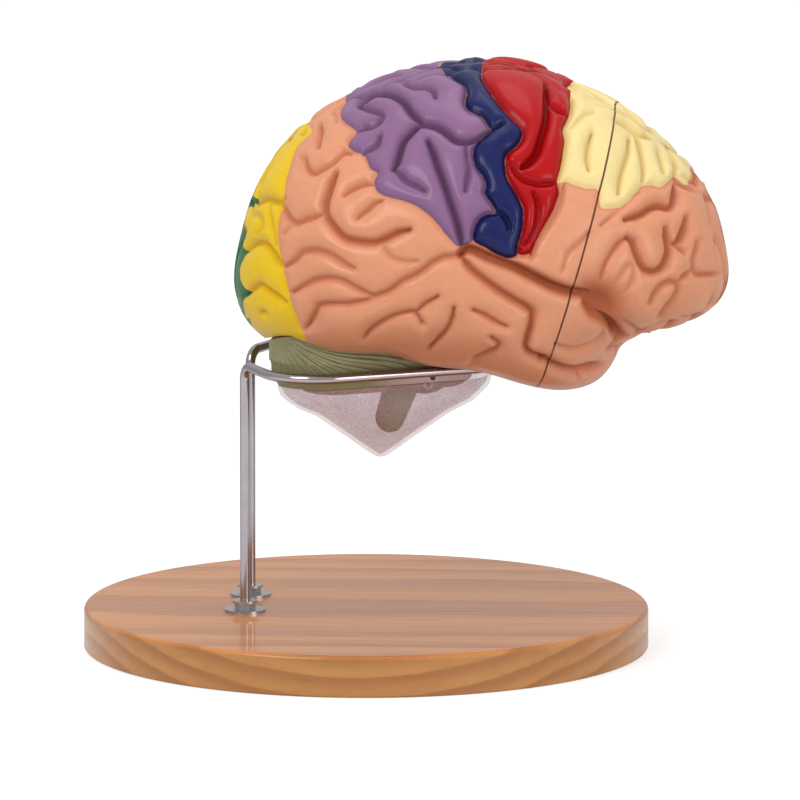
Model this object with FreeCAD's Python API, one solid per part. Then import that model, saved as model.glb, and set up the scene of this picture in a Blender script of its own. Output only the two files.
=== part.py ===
import FreeCAD, Part
import math
import os

# Brain anatomy model on a wire stand, about twice life size, in millimetres.
# Origin: centre of the underside of the round base. +Z is up, +X is the front of the brain,
# and -Y is the side of the right hemisphere. The pieces that rest in the ring of the stand are
# drawn with the ring at a height of 0 and raised to it at the end.

V = FreeCAD.Vector
UP = V(0, 0, 1)
SIDEWAYS = V(0, 1, 0)

# Round wooden base
BASE_RADIUS = 172.5
BASE_THICKNESS = 25.4
BASE_TOP_ROUND = 3.0
BASE_BOTTOM_ROUND = 1.2

# Bent wire stand: two posts and a ring in one rod
ROD_DIAMETER = 6.0
POST_X = -72.5
POST_HALF_SPREAD = 26.3
POST_BEND_RADIUS = 9.0
RING_HEIGHT = 177.6
RING_CORNER_X = -43.0
RING_CORNER_Y = 86.5
RING_CORNER_RADIUS = 34.0
RING_NOSE_X = 85.0
RING_NOSE_RADIUS = 36.5

# Fasteners at the feet of the posts
HOLE_CLEARANCE = 0.3
WASHER_DIAMETER = 25.0
WASHER_THICKNESS = 1.6
NUT_ACROSS_FLATS = 11.0
NUT_HEIGHT = 5.2
NUT_FLANGE_DIAMETER = 15.5
NUT_FLANGE_THICKNESS = 1.2
LOWER_WASHER_DIAMETER = 18.0
LOWER_NUT_ACROSS_FLATS = 10.0
LOWER_NUT_HEIGHT = 5.0
COUNTERBORE_DIAMETER = 24.0
COUNTERBORE_DEPTH = 11.0
THREAD_END_INSET = 2.0

# Gaps between pieces
SEAM_GAP = 0.3
SEAT_GAP = 0.4
RING_SEAT_GAP = 0.7
GLUE_GAP = 0.05
PEG_CLEARANCE = 0.25

# How far cutting tools run past what they cut
CUT_OVERLAP = 5.0
CUT_REACH = 400.0

# Cerebral hemispheres: a side outline in polar radii about a middle point, and a half width
BRAIN_X = 69.5
BRAIN_Z = 72.4
OUTLINE_RADII = [152.5, 146, 131, 122, 116, 118, 116.5, 116.5, 120.5, 124, 135.5, 144,
                 149.5, 157, 134, 88, 82, 76.5, 75.5, 84.5, 102.5, 113.5, 106, 155]
HALF_WIDTH = 118.0
FRONT_NARROWING = 0.09
RIM_ROUNDING = 5.0
TOP_FULLNESS = 2.3
BOTTOM_FULLNESS = 3.2
DOME_POLES = 15

# Cut between the front and the rear pieces of each hemisphere: leans forward towards the top
# and sweeps forward towards the side
CORONAL_X = 126.0
CORONAL_TILT = 16.5
CORONAL_SWEEP = 4.5

# Grooves of the cortex, drawn on a side view seen from above and a little from the front
VIEW_TILT = 10.0
VIEW_TURN = 3.3
GROOVE_WIDTH = 3.4
GROOVE_DEPTH = 4.0
GROOVE_TIP_SHARE = 0.3
FISSURE_WIDTH = 5.0
FISSURE_DEPTH = 8.0
MEDIAL_GROOVE_WIDTH = 2.6
MEDIAL_GROOVE_DEPTH = 1.6

# Cerebellum: a sloped seat on the ring, walls above it, an arched top and a notch at the back
SEAT_SLOPE = 60.0
SEAT_DROP = 8.0
SEAT_RISE = 9.0
REAR_CLOSING_X = -59.0
PLAN_MIDDLE_X = 4.0
PLAN_SAMPLES = 720
PLAN_POINTS = 32
ARCH_X = -45.0
ARCH_Z = -5.6
ARCH_LENGTH = 220.0
ARCH_WIDTH = 400.0
ARCH_RISE = 36.0
UNDERSIDE_STEP = 14.0
UNDERSIDE_DEPTH = 10.0
UNDERSIDE_OVERLAP = 1.0
NOTCH_RADIUS = 9.0

# Folds of the cerebellum: thin cuts that fan out from an axis across the body
FAN_X = -57.0
FAN_Z = 29.0
FAN_REACH = 130.0
FAN_CUTS = 14
FAN_FIRST_ANGLE = 8.0
FAN_SPREAD = 76.0
FAN_CROWDING = 1.4
FOLD_WIDTH = 1.2
FOLD_DEPTH = 1.4

# Hollow between the temporal lobes
HOLLOW_X = 110.0
HOLLOW_Z = -9.6
HOLLOW_LENGTH = 130.0
HOLLOW_WIDTH = 76.0
HOLLOW_RISE = 26.0

# Brainstem
STEM_TOP_X = 32.0
STEM_TOP_Z = 14.0
STEM_TOP_RADIUS = 13.0
STEM_TIP_X = 14.6
STEM_TIP_Z = -36.1
STEM_TIP_RADIUS = 9.0
PONS_X = 36.0
PONS_Z = -5.6
PONS_LENGTH = 34.0
PONS_WIDTH = 44.0
PONS_HEIGHT = 30.0
NERVE_X = 39.6
NERVE_Z = -10.6
NERVE_DIAMETER = 6.4
NERVE_LENGTH = 28.0
NERVE_BORE = 2.6
NERVE_BORE_DEPTH = 3.0

# Support cup: sections from the shoulder down to the tip, as height, middle and radius
CUP_RIM_INSET = 8.0
CUP_SHOULDER_Z = -14.6
CUP_SHOULDER_INSET = 9.5
CUP_SECTIONS = [(-31.6, 6.2, 46.0), (-47.6, 7.3, 23.7), (-56.6, 8.3, 9.5), (-60.4, 8.6, 3.0)]
CUP_WALL = 2.2
CUP_SLANT_SHARE = 1.4

# Locating pegs
PEG_DIAMETER = 8.0
PEG_HALF_LENGTH = 14.0
PEG_END_GAP = 0.5
PEG_MOUTH = 2.0
MIDLINE_PEGS = [(10.0, 127.4), (62.0, 66.4)]
SEAM_PEGS = [(122.4, 42.0), (44.4, 62.0)]

# Side grooves, each from one end to the other
SYLVIAN_FISSURE = [(59, 62), (85, 55), (103, 46), (123, 40), (139, 37)]
SYLVIAN_HOLLOW = [(139, 37), (148, 30), (154, 19), (158, 8)]
SIDE_GROOVES = {
    "posterior_ramus": [(59, 62), (40, 55), (24, 44), (6, 37), (-12, 35), (-28, 34),
                        (-32, 23), (-38, 13)],
    "superior_temporal": [(59, 62), (73, 45), (87, 37), (100, 31), (102, 23), (99, 7),
                          (108, -1)],
    "middle_temporal": [(1, 11), (12, 20), (24, 27), (32, 21)],
    "middle_temporal_spur": [(27, 25), (37, 34)],
    "inferior_temporal": [(51, 31), (50, 17), (43, 7), (32, 3)],
    "temporal_dash": [(63, 32), (73, 24), (86, 20)],
    "temporal_hook": [(76, 13), (81, 7), (71, 1)],
    "lower_occipital": [(-47, 38), (-34, 45), (-22, 46), (-8, 41), (4, 37)],
    "lateral_occipital": [(-53, 55), (-46, 60), (-37, 64), (-22, 61), (-9, 54)],
    "angular_loop": [(-18, 114), (-24, 104), (-26, 90), (-18, 78), (-4, 70), (8, 73),
                     (18, 78), (27, 80)],
    "angular_spur": [(-46, 84), (-37, 85), (-24, 90)],
    "angular_hook": [(9, 73), (12, 64), (20, 59), (30, 59)],
    "upper_occipital": [(-43, 112), (-38, 117), (-27, 120), (-21, 128)],
    "intraparietal": [(20, 161), (28, 153), (34, 146), (45, 143), (54, 136), (61, 133), (68, 136),
                      (75, 142)],
    "parietal_arch": [(36, 145), (25, 137), (19, 129), (16, 120), (6, 114)],
    "parietal_stem": [(36, 133), (42, 116), (48, 99), (54, 82), (58, 68)],
    "parietal_curl": [(-9, 154), (-2, 154), (9, 151), (6, 146), (-6, 140)],
    "parietal_top": [(19, 171), (26, 168), (40, 165), (41, 160)],
    "parietal_dash": [(18, 118), (25, 110), (35, 103)],
    "parietal_drop": [(59, 134), (62, 123), (63, 114), (61, 106)],
    "central": [(70, 193), (73, 168), (81, 159), (92, 150), (96, 142), (93, 134), (86, 125),
                (85, 118), (90, 106), (95, 96), (96, 86), (94, 73), (93, 63)],
    "postcentral": [(48, 193), (52, 171), (63, 165), (66, 156), (75, 144), (68, 134), (67, 126),
                    (74, 115), (77, 103), (73, 91), (68, 82), (66, 68)],
    "precentral": [(117, 187), (125, 165), (124, 150), (122, 134), (119, 122), (116, 106),
                   (113, 93), (107, 78), (101, 64)],
    "precentral_inner": [(110, 171), (110, 161), (109, 148), (105, 135), (100, 125), (96, 118)],
    "frontal_dash_a": [(137, 140), (136, 131), (137, 116)],
    "frontal_step": [(116, 109), (124, 109), (142, 104)],
    "frontal_dash_b": [(160, 139), (163, 122), (157, 104)],
    "frontal_dash_c": [(168, 134), (170, 122), (169, 110)],
    "frontal_dash_d": [(177, 129), (179, 120), (187, 114)],
    "superior_frontal": [(140, 80), (154, 93), (168, 104), (182, 109), (194, 109)],
    "middle_frontal": [(146, 73), (154, 83), (163, 91), (173, 96), (184, 101)],
    "frontal_hook": [(166, 84), (164, 71), (172, 59), (182, 55), (190, 57), (192, 64)],
    "frontal_s": [(192, 99), (195, 95), (203, 87), (198, 78), (194, 71), (184, 73)],
    "frontal_corner": [(203, 70), (200, 57), (204, 54), (217, 56)],
    "orbital_dash": [(176, 35), (184, 39), (194, 47)],
    "triangular": [(146, 42), (146, 51), (151, 57), (159, 57), (163, 52), (159, 43)],
    "temporal_pole": [(115, -1), (129, -2), (143, -1), (152, 4)],
}

# Grooves of the flat inner face, as x and z
MEDIAL_GROOVES = {
    "callosum_upper": [(118, 66), (127, 78), (120, 96), (98, 110), (66, 114), (34, 107),
                       (12, 92), (6, 76)],
    "callosum_lower": [(112, 72), (110, 84), (94, 96), (66, 101), (36, 94), (20, 82)],
    "cingulate": [(136, 54), (151, 68), (153, 90), (136, 115), (104, 131), (64, 136), (28, 127),
                  (2, 110)],
    "parieto_occipital": [(-2, 80), (-20, 108), (-34, 138)],
    "calcarine": [(-2, 78), (-26, 69), (-50, 72), (-70, 66)],
}


def smooth_radius(turn):
    """Radius of the side outline at a turn in degrees: a cubic through the listed radii."""
    count = len(OUTLINE_RADII)
    place = (turn % 360.0) / 360.0 * count
    step = int(place)
    t = place - step
    before, here, after, later = [OUTLINE_RADII[(step + k) % count] for k in (-1, 0, 1, 2)]
    return 0.5 * (2 * here + (after - before) * t
                  + (2 * before - 5 * here + 4 * after - later) * t * t
                  + (3 * here - before - 3 * after + later) * t ** 3)


def dome_point(a, b, inset, rim_y):
    """Point of a hemisphere's outside at a and b, from -1 to 1 across its side view."""
    across = math.sin(a * math.pi / 2)
    along = math.sin(b * math.pi / 2)
    x = across * math.sqrt(1 - along * along / 2)
    z = along * math.sqrt(1 - across * across / 2)
    share = 1.0 if max(abs(a), abs(b)) > 0.999 else math.hypot(x, z)
    turn = math.atan2(z, x)
    lift = 0.5 + 0.5 * math.sin(turn)
    fullness = BOTTOM_FULLNESS + (TOP_FULLNESS - BOTTOM_FULLNESS) * lift
    height = math.sqrt(max(0.0, 1 - share ** fullness))
    radius = (smooth_radius(math.degrees(turn)) - inset) * share
    if share == 1.0:
        radius -= RIM_ROUNDING * (1 + math.sin(turn)) / 2
    px = BRAIN_X + radius * math.cos(turn)
    pz = BRAIN_Z + radius * math.sin(turn)
    width = HALF_WIDTH - FRONT_NARROWING * max(0.0, px - BRAIN_X) - inset
    return V(px, rim_y - (width + rim_y) * height, pz)


def dome(inset=0.0, rim_y=-SEAM_GAP / 2):
    """Solid hemisphere with a flat inner face at rim_y, inset from the outside."""
    steps = [2.0 * k / (DOME_POLES - 1) - 1 for k in range(DOME_POLES)]
    poles = [[dome_point(a, b, inset, rim_y) for b in steps] for a in steps]
    spans = DOME_POLES - 3
    knots = [k / spans for k in range(spans + 1)]
    repeats = [4] + [1] * (spans - 1) + [4]
    surface = Part.BSplineSurface()
    surface.buildFromPolesMultsKnots(poles, repeats, repeats, knots, knots, False, False, 3, 3)
    outside = surface.toShape()
    inside = Part.Face(Part.Wire(Part.__sortEdges__(outside.Edges)))
    solid = Part.Solid(Part.Shell([outside, inside]))
    if solid.Volume < 0:
        solid.reverse()
    return solid


def ribbon(points, width, lift=1.0):
    """Flat band along a line of points in the XZ plane, narrow at both ends."""
    left, right = [], []
    last = len(points) - 1
    for k, (x, v) in enumerate(points):
        ahead = points[min(k + 1, last)]
        behind = points[max(k - 1, 0)]
        dx, dv = ahead[0] - behind[0], ahead[1] - behind[1]
        length = math.hypot(dx, dv)
        half = width / 2 * (GROOVE_TIP_SHARE if k in (0, last) else 1.0)
        nx, nv = -dv / length * half, dx / length * half
        left.append(V(x + nx, 0, (v + nv) * lift))
        right.append(V(x - nx, 0, (v - nv) * lift))
    corners = left + right[::-1]
    return Part.Face(Part.makePolygon(corners + corners[:1]))


def side_bands(lines, width):
    """Bands drawn on the tilted side view, pushed outwards through the right hemisphere."""
    lift = 1 / math.cos(math.radians(VIEW_TILT))
    faces = [ribbon(points, width, lift) for points in lines]
    flat = faces[0].multiFuse(faces[1:]) if len(faces) > 1 else faces[0]
    reach = HALF_WIDTH + CUT_OVERLAP
    push = V(reach * math.tan(math.radians(VIEW_TURN)), -reach,
             reach * math.tan(math.radians(VIEW_TILT)))
    return flat.extrude(push)


def grooves(lines, width, depth):
    """Band-shaped channels of one depth below the outside of the right hemisphere."""
    return side_bands(lines, width).cut(dome(depth, rim_y=CUT_OVERLAP))


def box_between(x0, x1, y0, y1, z0, z1):
    return Part.makeBox(x1 - x0, y1 - y0, z1 - z0, V(x0, y0, z0))


def ellipsoid(centre, length, width, height):
    """Ball stretched to a length along X, a width along Y and a height along Z."""
    stretch = FreeCAD.Matrix()
    stretch.scale(length / 2, width / 2, height / 2)
    solid = Part.makeSphere(1.0).transformGeometry(stretch)
    solid.translate(centre)
    return solid


def seam_box(side):
    """Large block in front of the right coronal cut, side +1, or behind it, side -1."""
    start = SEAM_GAP / 2 if side > 0 else -SEAM_GAP / 2 - CUT_REACH
    block = box_between(start, start + CUT_REACH, -CUT_REACH, CUT_REACH, -CUT_REACH, CUT_REACH)
    normal = V(1, math.tan(math.radians(CORONAL_SWEEP)), -math.tan(math.radians(CORONAL_TILT)))
    block.Placement = FreeCAD.Placement(V(CORONAL_X, 0, BRAIN_Z),
                                        FreeCAD.Rotation(V(1, 0, 0), normal))
    return block


def seam_point(z, y):
    """Point of the coronal cut at a height and a side."""
    lean = (z - BRAIN_Z) * math.tan(math.radians(CORONAL_TILT))
    sweep = abs(y) * math.tan(math.radians(CORONAL_SWEEP))
    return V(CORONAL_X + lean + sweep, y, z)


def pull_direction():
    """Way in which a front piece comes off: forward and down, square to the leaning cut."""
    tilt = math.radians(CORONAL_TILT)
    return V(math.cos(tilt), 0, -math.sin(tilt))


# Wire stand

def ring_tangents():
    """Points where the straight runs of the near side of the ring meet its round corners."""
    start = V(POST_X, -POST_HALF_SPREAD, 0)
    corner = V(RING_CORNER_X, -RING_CORNER_Y, 0)
    out = (corner - start).normalize()
    nose_centre_x = RING_NOSE_X - RING_NOSE_RADIUS
    gap = V(nose_centre_x, 0, 0) - corner
    angle = math.atan2(gap.y, gap.x) - math.asin(RING_NOSE_RADIUS / gap.Length)
    along = V(math.cos(angle), math.sin(angle), 0)
    turn = math.acos(out.dot(along))
    trim = RING_CORNER_RADIUS * math.tan(turn / 2)
    corner_in = corner - out * trim
    corner_out = corner + along * trim
    bisector = (along - out).normalize()
    middle = corner + bisector * (RING_CORNER_RADIUS / math.cos(turn / 2) - RING_CORNER_RADIUS)
    nose_in = V(nose_centre_x, 0, 0) + V(math.sin(angle), -math.cos(angle), 0) * RING_NOSE_RADIUS
    return start, out, corner_in, middle, corner_out, nose_in


def far(point):
    return V(point.x, -point.y, point.z)


def ring_edges(start):
    """Edges of the ring in plan, from a start on the near side round the nose to the far side."""
    _, _, corner_in, middle, corner_out, nose_in = ring_tangents()
    nose = V(RING_NOSE_X, 0, 0)
    return [
        Part.LineSegment(start, corner_in).toShape(),
        Part.Arc(corner_in, middle, corner_out).toShape(),
        Part.LineSegment(corner_out, nose_in).toShape(),
        Part.Arc(nose_in, nose, far(nose_in)).toShape(),
        Part.LineSegment(far(nose_in), far(corner_out)).toShape(),
        Part.Arc(far(corner_out), far(middle), far(corner_in)).toShape(),
        Part.LineSegment(far(corner_in), far(start)).toShape(),
    ]


def post_edges():
    """Straight post and its bend into the ring, on the near side."""
    start, out, *_ = ring_tangents()
    r = POST_BEND_RADIUS
    foot = V(start.x, start.y, THREAD_END_INSET)
    bend_low = V(start.x, start.y, RING_HEIGHT - r)
    bend_high = start + out * r + UP * RING_HEIGHT
    half = math.sqrt(0.5)
    bend_middle = start + out * (r - r * half) + UP * (RING_HEIGHT - r + r * half)
    return [Part.LineSegment(foot, bend_low).toShape(),
            Part.Arc(bend_low, bend_middle, bend_high).toShape()], bend_high


def support_wire():
    near_post, bend_high = post_edges()
    ring_start = V(bend_high.x, bend_high.y, 0)
    ring = [edge.translated(UP * RING_HEIGHT) for edge in ring_edges(ring_start)]
    far_post = [edge.mirror(V(0, 0, 0), SIDEWAYS) for edge in near_post]
    path = Part.Wire(Part.__sortEdges__(near_post + ring + far_post))
    foot = V(POST_X, -POST_HALF_SPREAD, THREAD_END_INSET)
    section = Part.Wire(Part.makeCircle(ROD_DIAMETER / 2, foot, UP))
    return path.makePipeShell([section], True, True)


# Base and fasteners

def post_places():
    return [V(POST_X, side * POST_HALF_SPREAD, 0) for side in (-1, 1)]


def upright_cylinder(place, z0, height, diameter):
    return Part.makeCylinder(diameter / 2, height, V(place.x, place.y, z0), UP)


def base_board():
    board = Part.makeCylinder(BASE_RADIUS, BASE_THICKNESS)
    top = [e for e in board.Edges if e.Closed and abs(e.BoundBox.ZMin - BASE_THICKNESS) < 1e-6]
    board = board.makeFillet(BASE_TOP_ROUND, top)
    bottom = [e for e in board.Edges if e.Closed and abs(e.BoundBox.ZMax) < 1e-6]
    board = board.makeFillet(BASE_BOTTOM_ROUND, bottom)
    for place in post_places():
        hole = upright_cylinder(place, -CUT_OVERLAP, BASE_THICKNESS + 2 * CUT_OVERLAP,
                                ROD_DIAMETER + 2 * HOLE_CLEARANCE)
        recess = upright_cylinder(place, -CUT_OVERLAP, COUNTERBORE_DEPTH + CUT_OVERLAP,
                                  COUNTERBORE_DIAMETER)
        board = board.cut(hole.fuse(recess))
    return board


def washer(place, z0, diameter):
    disc = upright_cylinder(place, z0, WASHER_THICKNESS, diameter)
    return disc.cut(upright_cylinder(place, z0 - CUT_OVERLAP, WASHER_THICKNESS + 2 * CUT_OVERLAP,
                                     ROD_DIAMETER + 2 * HOLE_CLEARANCE))


def hexagon(place, z0, height, across_flats):
    radius = across_flats / math.sqrt(3)
    corners = [V(place.x + radius * math.cos(math.radians(60 * k)),
                 place.y + radius * math.sin(math.radians(60 * k)), z0) for k in range(7)]
    return Part.Face(Part.makePolygon(corners)).extrude(UP * height)


def nut(place, z0, height, across_flats, flange_diameter=0.0):
    body = hexagon(place, z0, height, across_flats)
    if flange_diameter:
        flange_z = z0 + height - NUT_FLANGE_THICKNESS
        body = body.fuse(upright_cylinder(place, flange_z, NUT_FLANGE_THICKNESS, flange_diameter))
    return body.cut(upright_cylinder(place, z0 - CUT_OVERLAP, height + 2 * CUT_OVERLAP,
                                     ROD_DIAMETER + 2 * GLUE_GAP))


def at_both_posts(make, *sizes):
    return Part.makeCompound([make(place, *sizes) for place in post_places()])


# Plan curves that follow the inside of the ring

def plan_wire():
    """Closed outline along the ring's centre line, shut by a straight rear edge."""
    start, out, *_ = ring_tangents()
    rear = start + out * ((REAR_CLOSING_X - start.x) / out.x)
    edges = ring_edges(rear)
    edges.append(Part.LineSegment(far(rear), rear).toShape())
    return Part.Wire(Part.__sortEdges__(edges))


def plan_curve(inset, z):
    """Smooth closed curve inside the ring's centre line by inset, at a height."""
    wire = plan_wire().makeOffset2D(-inset) if inset else plan_wire()
    samples = [(math.atan2(p.y, p.x - PLAN_MIDDLE_X), p) for p in wire.discretize(PLAN_SAMPLES)]
    points = []
    for k in range(PLAN_POINTS):
        turn = math.pi * (2.0 * k / PLAN_POINTS - 1)
        _, nearest = min(samples, key=lambda sample: abs(sample[0] - turn))
        points.append(V(nearest.x, nearest.y, z))
    curve = Part.BSplineCurve()
    curve.interpolate(Points=points, PeriodicFlag=True)
    return Part.Wire(curve.toShape())


def round_curve(z, x, radius):
    """Circle as a closed curve that starts where the plan curves start."""
    points = []
    for k in range(PLAN_POINTS):
        turn = math.pi * (2.0 * k / PLAN_POINTS - 1)
        points.append(V(x + radius * math.cos(turn), radius * math.sin(turn), z))
    curve = Part.BSplineCurve()
    curve.interpolate(Points=points, PeriodicFlag=True)
    return Part.Wire(curve.toShape())


def seat_inset(rise):
    """How far inside the ring's centre line the sloped seat lies, at a rise above the ring."""
    slope = math.radians(SEAT_SLOPE)
    clear = ROD_DIAMETER / 2 + RING_SEAT_GAP
    return clear / math.sin(slope) - rise / math.tan(slope)


# Cerebellum

def arch(grow=0.0):
    """Ellipsoid whose upper half bounds the top of the cerebellum."""
    return ellipsoid(V(ARCH_X, 0, ARCH_Z), ARCH_LENGTH + 2 * grow, ARCH_WIDTH + 2 * grow,
                     2 * (ARCH_RISE + grow))


def walled_block(grow=0.0):
    """Block with the cerebellum's upper walls and its arched top, grown by a gap."""
    plan = Part.Face(plan_curve(seat_inset(SEAT_RISE) - grow, -SEAT_DROP))
    return plan.extrude(UP * (SEAT_DROP + ARCH_Z + ARCH_RISE + 2 * grow)).common(arch(grow))


def fold_cuts():
    """Thin strips that fan out along the walls of the cerebellum."""
    strips = []
    for k in range(FAN_CUTS):
        angle = FAN_FIRST_ANGLE + FAN_SPREAD * (k / (FAN_CUTS - 1)) ** FAN_CROWDING
        strip = box_between(0, FAN_REACH, -ARCH_WIDTH / 2, ARCH_WIDTH / 2, -FOLD_WIDTH / 2,
                            FOLD_WIDTH / 2)
        strip.rotate(V(0, 0, 0), SIDEWAYS, angle)
        strip.translate(V(FAN_X, 0, FAN_Z))
        strips.append(strip)
    core = Part.Face(plan_curve(seat_inset(SEAT_RISE) + FOLD_DEPTH, -FAN_REACH))
    fan = strips[0].multiFuse(strips[1:]).cut(core.extrude(UP * 2 * FAN_REACH))
    above_ring = box_between(-FAN_REACH, FAN_REACH, -ARCH_WIDTH, ARCH_WIDTH, SEAT_RISE,
                             FAN_REACH)
    return fan.common(above_ring)


def cerebellum():
    """Body that sits in the ring on a sloped seat, under the rear of the brain."""
    low, high = seat_inset(-SEAT_DROP), seat_inset(SEAT_RISE)
    seat = Part.makeLoft([plan_curve(low, -SEAT_DROP), plan_curve(high, SEAT_RISE),
                          plan_curve(high, ARCH_Z + ARCH_RISE + SEAT_GAP)], True, True)
    step = low + UNDERSIDE_STEP
    underside = Part.makeLoft([plan_curve(step - UNDERSIDE_STEP / 2, UNDERSIDE_OVERLAP - SEAT_DROP),
                               plan_curve(step, -SEAT_DROP - UNDERSIDE_DEPTH)], True, True)
    notch = Part.makeCylinder(NOTCH_RADIUS, 4 * ARCH_RISE, V(REAR_CLOSING_X, 0, -2 * ARCH_RISE))
    body = seat.fuse(underside).common(arch())
    return body.cut([brainstem_form(SEAM_GAP), notch, fold_cuts()] + nerve_forms(SEAM_GAP))


# Brainstem

def brainstem_form(grow=0.0):
    """Tapered stem with a round tip and the bulge of the pons, grown all round by a gap."""
    top = V(STEM_TOP_X, 0, STEM_TOP_Z)
    tip = V(STEM_TIP_X, 0, STEM_TIP_Z)
    axis = top - tip
    stem = Part.makeCone(STEM_TIP_RADIUS + grow, STEM_TOP_RADIUS + grow, axis.Length + grow, tip,
                         axis)
    end = Part.makeSphere(STEM_TIP_RADIUS + grow, tip)
    pons = ellipsoid(V(PONS_X, 0, PONS_Z), PONS_LENGTH + 2 * grow, PONS_WIDTH + 2 * grow,
                     PONS_HEIGHT + 2 * grow)
    return stem.fuse([end, pons])


def nerve_forms(grow=0.0):
    """Pair of round nerve roots at the sides of the pons, grown all round by a gap."""
    return [Part.makeCylinder(NERVE_DIAMETER / 2 + grow, NERVE_LENGTH + grow,
                              V(NERVE_X, 0, NERVE_Z), V(0, side, 0)) for side in (-1, 1)]


def brainstem():
    bores = [Part.makeCylinder(NERVE_BORE / 2, NERVE_LENGTH,
                               V(NERVE_X, side * (NERVE_LENGTH - NERVE_BORE_DEPTH), NERVE_Z),
                               V(0, side, 0)) for side in (-1, 1)]
    return brainstem_form().fuse(nerve_forms()).cut(bores)


# Support cup

def cup_skin(inset, rim_z):
    """Closed form of the cup up to a rim, inset from its outside."""
    slant = inset * CUP_SLANT_SHARE
    curves = [plan_curve(CUP_RIM_INSET + inset, rim_z),
              plan_curve(CUP_SHOULDER_INSET + inset, CUP_SHOULDER_Z)]
    for z, x, radius in CUP_SECTIONS[:-1]:
        curves.append(round_curve(z, x, radius - slant))
    tip_z, tip_x, tip_radius = CUP_SECTIONS[-1]
    curves.append(round_curve(tip_z + inset, tip_x, tip_radius))
    return Part.makeLoft(curves, True, False)


def support_cup():
    rim_z = -SEAT_DROP - SEAM_GAP
    return cup_skin(0.0, rim_z).cut(cup_skin(CUP_WALL, rim_z + CUP_WALL))


# Hemispheres

def ring_channel():
    """Space that the ring and what hangs below it need under the hemispheres."""
    clear = ROD_DIAMETER / 2 + SEAT_GAP
    plan = Part.Face(plan_wire().makeOffset2D(clear))
    plan.translate(UP * (clear - CUT_REACH))
    return plan.extrude(UP * CUT_REACH)


def medial_cutters():
    """Shallow bands for the grooves of the flat inner face."""
    faces = [ribbon(points, MEDIAL_GROOVE_WIDTH) for points in MEDIAL_GROOVES.values()]
    flat = faces[0].multiFuse(faces[1:])
    flat.translate(V(0, CUT_OVERLAP, 0))
    return flat.extrude(V(0, -MEDIAL_GROOVE_DEPTH - SEAM_GAP / 2 - CUT_OVERLAP, 0))


def right_hemisphere():
    """Grooved right hemisphere, before the coronal cut."""
    hollow = ellipsoid(V(HOLLOW_X, 0, HOLLOW_Z), HOLLOW_LENGTH, HOLLOW_WIDTH, 2 * HOLLOW_RISE)
    body = dome().cut([walled_block(SEAT_GAP), ring_channel(), hollow, medial_cutters()])
    fine = grooves(list(SIDE_GROOVES.values()), GROOVE_WIDTH, GROOVE_DEPTH)
    deep = grooves([SYLVIAN_FISSURE, SYLVIAN_HOLLOW], FISSURE_WIDTH, FISSURE_DEPTH)
    return body.cut([fine, deep])


def peg(place, direction, length, diameter):
    return Part.makeCylinder(diameter / 2, length, place, direction)


def midline_places():
    return [V(x, 0, z) for x, z in MIDLINE_PEGS]


def seam_places(side):
    return [seam_point(z, side * y) for z, y in SEAM_PEGS]


def peg_bore(place, direction, clearance):
    """Blind hole for half a peg, from just outside a flat face along a direction."""
    return peg(place - direction * PEG_MOUTH, direction,
               PEG_MOUTH + PEG_HALF_LENGTH + PEG_END_GAP, PEG_DIAMETER + 2 * clearance)


def pegs(places, direction):
    solids = [peg(place - direction * PEG_HALF_LENGTH, direction, 2 * PEG_HALF_LENGTH,
                  PEG_DIAMETER) for place in places]
    return Part.makeCompound(solids)


def cortex_pieces():
    """Four cortex pieces, cut from one hemisphere and its mirror image, with their peg bores."""
    right = right_hemisphere()
    forward = pull_direction()
    pieces = {}
    for part, box_side in (("rear", -1), ("front", 1)):
        solid = right.common(seam_box(box_side))
        pieces["right_" + part] = solid
        pieces["left_" + part] = solid.mirror(V(0, 0, 0), SIDEWAYS)
    for name, side in (("right", -1), ("left", 1)):
        for place in seam_places(side):
            pieces[name + "_rear"] = pieces[name + "_rear"].cut(
                peg_bore(place, forward * -1, GLUE_GAP))
            pieces[name + "_front"] = pieces[name + "_front"].cut(
                peg_bore(place, forward, PEG_CLEARANCE))
    for place in midline_places():
        pieces["right_rear"] = pieces["right_rear"].cut(peg_bore(place, SIDEWAYS * -1, GLUE_GAP))
        pieces["left_rear"] = pieces["left_rear"].cut(peg_bore(place, SIDEWAYS, PEG_CLEARANCE))
    return pieces


def build():
    """All pieces of the model by name."""
    top = BASE_THICKNESS
    lower_washer_z = COUNTERBORE_DEPTH - WASHER_THICKNESS
    pieces = {
        "base_board": base_board(),
        "support_wire": support_wire(),
        "upper_washers": at_both_posts(washer, top, WASHER_DIAMETER),
        "upper_flange_nuts": at_both_posts(nut, top + WASHER_THICKNESS, NUT_HEIGHT,
                                           NUT_ACROSS_FLATS, NUT_FLANGE_DIAMETER),
        "lower_washers": at_both_posts(washer, lower_washer_z, LOWER_WASHER_DIAMETER),
        "lower_nuts": at_both_posts(nut, lower_washer_z - LOWER_NUT_HEIGHT, LOWER_NUT_HEIGHT,
                                    LOWER_NUT_ACROSS_FLATS),
    }
    in_ring = {
        "support_cup": support_cup(),
        "cerebellum": cerebellum(),
        "brainstem": brainstem(),
        "midline_pegs": pegs(midline_places(), SIDEWAYS),
        "right_seam_pegs": pegs(seam_places(-1), pull_direction()),
        "left_seam_pegs": pegs(seam_places(1), pull_direction()),
    }
    for name, solid in cortex_pieces().items():
        in_ring[name + "_cortex"] = solid
    for name, shape in in_ring.items():
        pieces[name] = shape.translated(UP * RING_HEIGHT)
    return pieces


os.makedirs("parts", exist_ok=True)
for node, shape in build().items():
    shape.exportStep("parts/" + node + ".step")
    print(node, "valid", shape.isValid(), "solids", len(shape.Solids), "volume",
          round(shape.Volume))
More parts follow.
